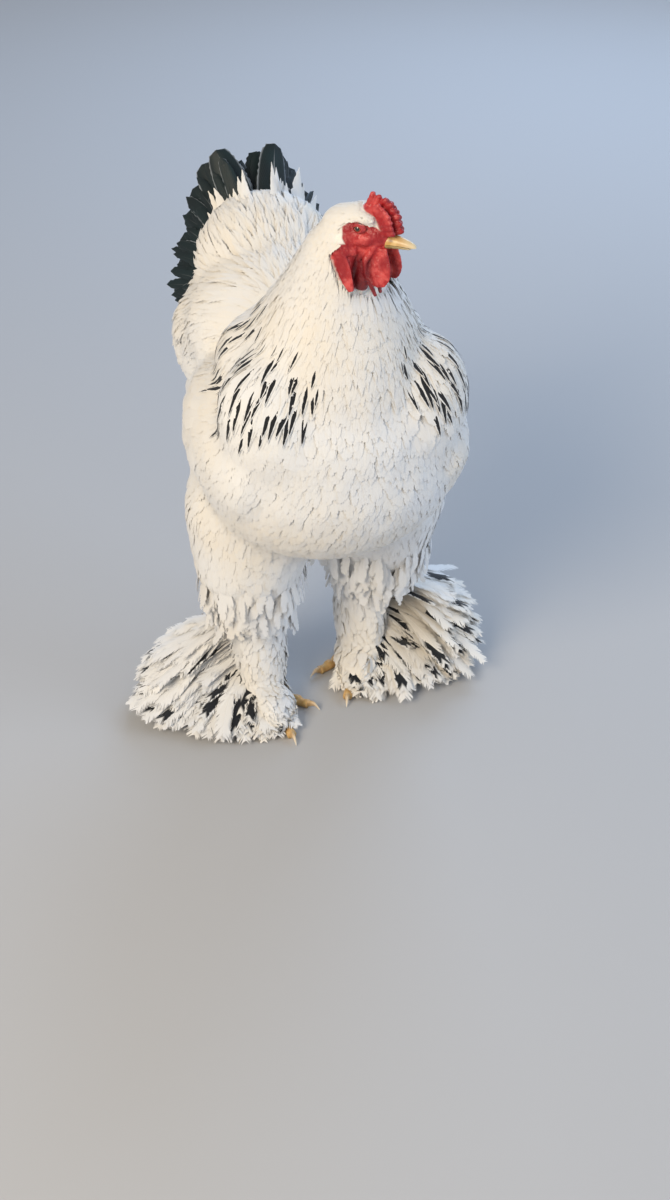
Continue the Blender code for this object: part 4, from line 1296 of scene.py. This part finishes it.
def cuff_batch(lie):
    """Feathers that hang from the lower edge of the thighs over the hocks."""
    height = lie.centre[:, 2] - HOCK_HEIGHT
    faces = np.nonzero((height > 0.002) & (height < 0.060))[0]
    places, faces = lie.scattered(faces, CUFF_SPACING)
    kept = random.random(len(places)) > (places[:, 2] - HOCK_HEIGHT) / 0.070
    places, faces = places[kept], faces[kept]
    count, steps = len(places), 12
    out = unit(lie.normal[faces] * np.array([1, 1, 0.2]))
    length = random.uniform(0.024, 0.042, count)[:, None]
    down = np.array([0, 0, -0.5])
    bend = places + out * 0.001 + down * length
    fall = out * random.normal(-0.10, 0.10, (count, 1)) + random.normal(0, 0.10, (count, 3))
    shaft = curved(places - out * 0.006, bend, bend + (fall + down) * length, steps)
    facing = np.repeat(out[:, None], steps + 1, axis=1)
    return tinted(vanes(shaft, facing, random.uniform(0.008, 0.014, count), "round", sweep=1.0,
                        fray=0.8, camber=0.14, twist=0.06))


HACKLE_TOP, HACKLE_LOW = 0.606, 0.472
HACKLE_LENGTH = (0.46, 0.50, 0.55, 0.60), (0.082, 0.088, 0.066, 0.036)
HACKLE_WIDTH = (0.46, 0.55, 0.60), (0.0092, 0.0080, 0.0056)


def before(plan):
    """1 at the middle of the breast, and 0 at the sides and the back."""
    return smoothstep(0.07, 0.02, np.abs(plan[:, 0])) * smoothstep(-0.02, -0.07, plan[:, 1])


def hackle_batch(lie, spacing, striped):
    """Long narrow feathers from the nape over the shoulders.

    A striped one is dark where its tip lies low, at the sides or the back.
    """
    to_plan = PLAN.inverted()
    faces = lie.faces_of("neck", "breast", "head", "back")
    plan = moved(to_plan, lie.centre[faces])
    height = plan[:, 2]
    low = HACKLE_LOW + 0.036 * before(plan) + 0.010 * np.sin(plan[:, 0] * 160)
    faces = faces[(height > low) & (height < HACKLE_TOP) & (bareness(lie.centre[faces]) < 0.3)]
    places, faces = lie.scattered(faces, spacing)
    count = len(places)
    plan = moved(to_plan, places)
    length = np.interp(plan[:, 2], *HACKLE_LENGTH)
    length = length * random.uniform(0.75, 1.10, count) * (1 - 0.35 * before(plan))
    width = np.interp(plan[:, 2], *HACKLE_WIDTH) * (1 + 0.30 * striped)
    yaw = random.normal(0, 0.09, count)
    lift = random.uniform(0.006, 0.014, count) + 0.014 * striped
    shaft, facing = grown(lie, places, faces, length, np.full(count, 0.006), yaw, 12, lift, settle=2.2)
    batch = tinted(vanes(shaft, facing, width, "lance", sweep=0.9, camber=0.14))
    if striped:
        tip = moved(to_plan, shaft[:, -1])
        aside = smoothstep(0.034, 0.058, np.abs(tip[:, 0]))
        behind = smoothstep(-0.07, -0.03, tip[:, 1])
        below = smoothstep(0.515, 0.462, tip[:, 2] - 0.030 * behind)
        below = below * smoothstep(0.035, 0.0, tip[:, 1])
        batch["dark"] = np.maximum(aside, behind) * below * random.uniform(0.75, 1.0, count)
    return batch


def quill_batch(lie):
    """The long feathers of the folded wings, which lie over the wings' own coat."""
    places, faces = lie.scattered(lie.faces_of("wing"), QUILL_SPACING)
    count = len(places)
    length, width = random.uniform(0.070, 0.095, count), random.uniform(0.020, 0.025, count)
    shaft, facing = grown(lie, places, faces, length, np.full(count, 0.004), random.normal(0, 0.06, count),
                          12, random.uniform(0.02, 0.04, count))
    return tinted(vanes(shaft, facing, width, "blade", columns=2, sweep=0.8, camber=0.2, soft=0.6))


def make_coat(lie, white, hackle):
    trunk, neck = PLAN @ Vector((0, 0.05, 0.33)), PLAN @ Vector((0, -0.05, 0.5))
    legs = PLAN @ Vector((0, 0.05, 0.2))
    for zone in ("breast", "belly", "flank", "fluff", "back"):
        coat_piece(f"coat_{zone}", [body_batch(lie, zone)], white, trunk, upright=False)
    coat_piece("coat_wing", [body_batch(lie, "wing"), quill_batch(lie)], white, trunk, upright=False)
    saddle = body_batch(lie, "saddle", "lance", 10, soft=0.65, lift=0.05)
    coat_piece("coat_saddle", [saddle], white, trunk, upright=False)
    coat_piece("coat_neck", [body_batch(lie, "neck")], white, neck)
    mantle = [hackle_batch(lie, HACKLE_SPACING, False), hackle_batch(lie, STRIPED_SPACING, True)]
    coat_piece("coat_hackle", mantle, hackle, neck)
    coat_piece("coat_head", [body_batch(lie, "head", steps=5, jitter=0.12)], white, HEAD.translation)
    coat_piece("coat_thigh", [body_batch(lie, "thigh"), cuff_batch(lie)], white, legs)
    shank = body_batch(lie, "shank", steps=12, lift=0.09, jitter=0.22)
    coat_piece("coat_shank", [shank], white, legs)


# Tail

TAIL_ROOT = Vector((0, 0.165, 0.415))
TAIL_FEATHERS = {
    # spread to the side, rise, in degrees, length and width
    RIGHT: [
        (4, 62, 0.196, 0.046),
        (9, 54, 0.188, 0.048),
        (12, 45, 0.172, 0.048),
        (15, 36, 0.156, 0.046),
        (18, 27, 0.142, 0.044),
        (21, 17, 0.128, 0.042),
        (25, 7, 0.118, 0.040),
    ],
    LEFT: [
        (4, 62, 0.196, 0.046),
        (10, 53, 0.192, 0.048),
        (17, 44, 0.184, 0.048),
        (23, 34, 0.172, 0.046),
        (27, 24, 0.156, 0.044),
        (30, 14, 0.140, 0.044),
        (32, 5, 0.126, 0.042),
    ],
}
TAIL_ASIDE, TAIL_CURL = Vector((0.010, 0, 0)), Vector((0.018, 0.012, -0.026))
TOP_FACING, LOW_FACING = Vector((0.3, -0.8, 0.5)), Vector((0.95, -0.35, 0.1))


def tail_row(side, position):
    """Spread, rise, length and width at a place between the rows of the tail's table."""
    table = np.array(TAIL_FEATHERS[side], float)
    return [float(np.interp(position, range(len(table)), column)) for column in table.T]


def tail_batch(side, entries, columns=2, steps=16, fray=0.22, profile="blade", soft=0.0):
    """Tail feathers, worked out for the left side and turned over for the right.

    Each entry gives its row, its share of the length and width, push, curl and share of the spread.
    """
    rows, widths = [], []
    last = len(TAIL_FEATHERS[side]) - 1
    for position, long, wide, push, curl, apart in entries:
        spread, rise, length, width = tail_row(side, position)
        turn, lift = math.radians(spread * apart), math.radians(rise)
        way = Vector((math.sin(turn) * math.cos(lift), math.cos(turn) * math.cos(lift), math.sin(lift)))
        facing = TOP_FACING.lerp(LOW_FACING, position / last).normalized()
        root = TAIL_ROOT + TAIL_ASIDE + way * 0.02 + facing * push
        ahead = way * length * long
        rows.append([root, root + ahead * 0.55, root + ahead + TAIL_CURL * curl, facing])
        widths.append(width * wide)
    rows = np.array(rows) * np.array([side, 1, 1])
    shaft = curved(*(moved(PLAN, rows[:, index]) for index in range(3)), steps)
    facing = np.repeat(rows[:, 3:], steps + 1, axis=1)
    return vanes(shaft, facing, widths, profile, columns=columns, fray=fray, camber=0.30, twist=0,
                 soft=soft)


def drawn(count, *columns):
    """Entries for a batch. A column is a pair of limits to draw between, or a fixed number."""
    return [[random.uniform(*column) if isinstance(column, tuple) else column for column in columns]
            for _ in range(count)]


# How many smaller feathers lie before and behind the main ones of each half.
TAIL_BEFORE, TAIL_BEHIND = 70, 44
# How light the shaft and the edge of each main feather of the tail are.
MAIN_SHAFTS, MAIN_EDGES = [0.9, 0.5, 0.2, 0.1, 0.1, 0.1, 0.1], [0.35, 0.45, 0, 0, 0, 0, 0]


def make_tail(black):
    for side in (LEFT, RIGHT):
        main = [(row, 1.0, 0.86, 0.0, 1.0, 1.0) for row in range(len(TAIL_FEATHERS[side]))]
        main = tail_batch(side, main, columns=3, steps=22)
        main["tint"], main["dark"] = MAIN_SHAFTS, MAIN_EDGES
        extra = drawn(TAIL_BEFORE, (0, 6.0), (0.60, 1.0), (0.28, 0.50), (0.002, 0.014), (0.6, 1.7), 1.0)
        extra += drawn(TAIL_BEHIND, (0, 5.0), (0.80, 1.0), (0.50, 0.80), (-0.012, -0.002), 0.6, (-0.3, 0.9))
        sickles = tail_batch(side, extra, steps=20, fray=0.30)
        sickles["tint"] = random.random(len(extra)) ** 4 * 0.8
        sickles["dark"] = random.random(len(extra)) ** 6
        name = f"tail_{SIDE_NAMES[side]}"
        coat_piece(f"coat_{name}", [main, sickles], black, PLAN @ TAIL_ROOT,
                   nodes=[name])


WHITE_TIPS = {
    # the longest white feathers over the tail, as entries of a batch
    RIGHT: [(1.4, 0.80, 0.60, 0.022, 0.3, 1.0), (1.8, 0.84, 0.50, 0.020, 0.3, 1.0),
            (2.3, 0.76, 0.55, 0.020, 0.3, 1.0), (0.3, 0.66, 0.45, 0.022, 0.2, 1.0)],
    LEFT: [(1.9, 0.90, 0.80, 0.022, 0.3, 1.0), (2.3, 0.84, 0.75, 0.020, 0.3, 1.0),
           (3.2, 0.92, 0.80, 0.020, 0.3, 1.0), (0.8, 0.70, 0.60, 0.022, 0.2, 1.0)],
}
COVERTS_A_SIDE = 110


def make_coverts(white):
    """Long white feathers that rise from the saddle before the tail."""
    batches = []
    for side in (LEFT, RIGHT):
        entries = []
        for _ in range(COVERTS_A_SIDE):
            low = random.random()
            entries.append((random.uniform(-0.3, 5.8), 0.42 + 0.36 * low, random.uniform(0.34, 0.56),
                            0.026 - 0.014 * low, random.uniform(-0.4, 0.8), 1.0))
        entries += WHITE_TIPS[side]
        batches.append(tinted(tail_batch(side, entries, fray=0.6, profile="lance", soft=0.5)))
    coat_piece("coat_coverts", batches, white, PLAN @ TAIL_ROOT)


# Feet

FOOT_FANS = {
    # first and last angle from outwards towards the front, root height, reach and tip height
    RIGHT: [
        (-38, 0, 0.108, 0.134, 0.060),
        (-30, 4, 0.080, 0.166, 0.024),
        (-12, 16, 0.048, 0.170, 0.012),
        (18, 56, 0.036, 0.112, 0.008),
        (58, 100, 0.034, 0.101, 0.009),
    ],
    LEFT: [
        (-26, 16, 0.112, 0.144, 0.086),
        (-14, 10, 0.076, 0.170, 0.022),
        (4, 28, 0.048, 0.148, 0.011),
        (28, 62, 0.036, 0.114, 0.008),
        (62, 100, 0.034, 0.100, 0.009),
    ],
}
# The number of feathers in each of a foot's two batches.
FAN_COUNT = 420


def fan_batch(side, count, low, high):
    """Foot feathers on the surfaces through a foot's fans, whose tips reach a share of the fans."""
    table = np.array(FOOT_FANS[side], float)
    position = random.uniform(0, len(table) - 1, count)
    first, last, root_height, reach, tip_height = (
        np.interp(position, range(len(table)), column) for column in table.T)
    across = random.random(count)
    reach = reach * (1 - 0.10 * np.abs(2 * across - 1))
    end = random.uniform(low, high, count)
    outer = (position > 0.7) & (position < 3.1) & (end > 0.58)
    dark = random.random(count) < np.where(outer, 0.32, 0.08)
    begin = np.maximum(end - random.uniform(0.062, 0.080, count) / reach, 0.0)
    steps = 22
    along = np.linspace(0, 1, steps + 1)[None, :]
    share = begin[:, None] + (end - begin)[:, None] * along
    turn = np.radians(first + (last - first) * across) - 0.15
    turn = turn[:, None] + random.normal(0.15, 0.16, count)[:, None] * share
    out = 0.016 * (1 - share) ** 2 + reach[:, None] * share
    layer = 0.016 * (1 - share) * random.random((count, 1))
    layer = layer + random.normal(0, 0.004, (count, 1)) * along**2 + 0.003 * dark[:, None]
    height = root_height[:, None] + (tip_height - root_height)[:, None] * share**1.7 + layer
    local = np.stack([np.cos(turn) * out, -np.sin(turn) * out, height], axis=2)
    shaft = moved(foot_frame(side), local.reshape(-1, 3)).reshape(local.shape)
    ahead = unit(np.gradient(shaft, axis=1))
    facing = unit(np.array([0, 0, 1]) - ahead * ahead[:, :, 2:])
    batch = tinted(vanes(shaft, facing, random.uniform(0.014, 0.023, count), "blade", sweep=1.6,
                         fray=0.95, twist=0.16, soft=0.6))
    batch["dark"] = dark
    return batch


def make_feet(finish):
    for side in (LEFT, RIGHT):
        batches = [fan_batch(side, FAN_COUNT, 0.72, 1.0), fan_batch(side, FAN_COUNT, 0.36, 0.8)]
        centre = foot_frame(side) @ Vector((0.014, 0, 0.05))
        coat_piece(f"coat_foot_{SIDE_NAMES[side]}", batches, finish, centre,
                   nodes=[f"foot_feathers_{SIDE_NAMES[side]}"])


def main():
    make_camera()
    make_studio()
    form = outer_form()
    lie = Lie(form)
    bpy.data.objects.remove(form)
    make_skin(lie, skin_finish())
    make_horn()
    make_eyes()
    white = plumage("plumage")
    make_coat(lie, white, plumage("hackle", stripe))
    make_tail(black_plumage())
    make_coverts(white)
    make_feet(plumage("foot_plumage", splotch))


main()
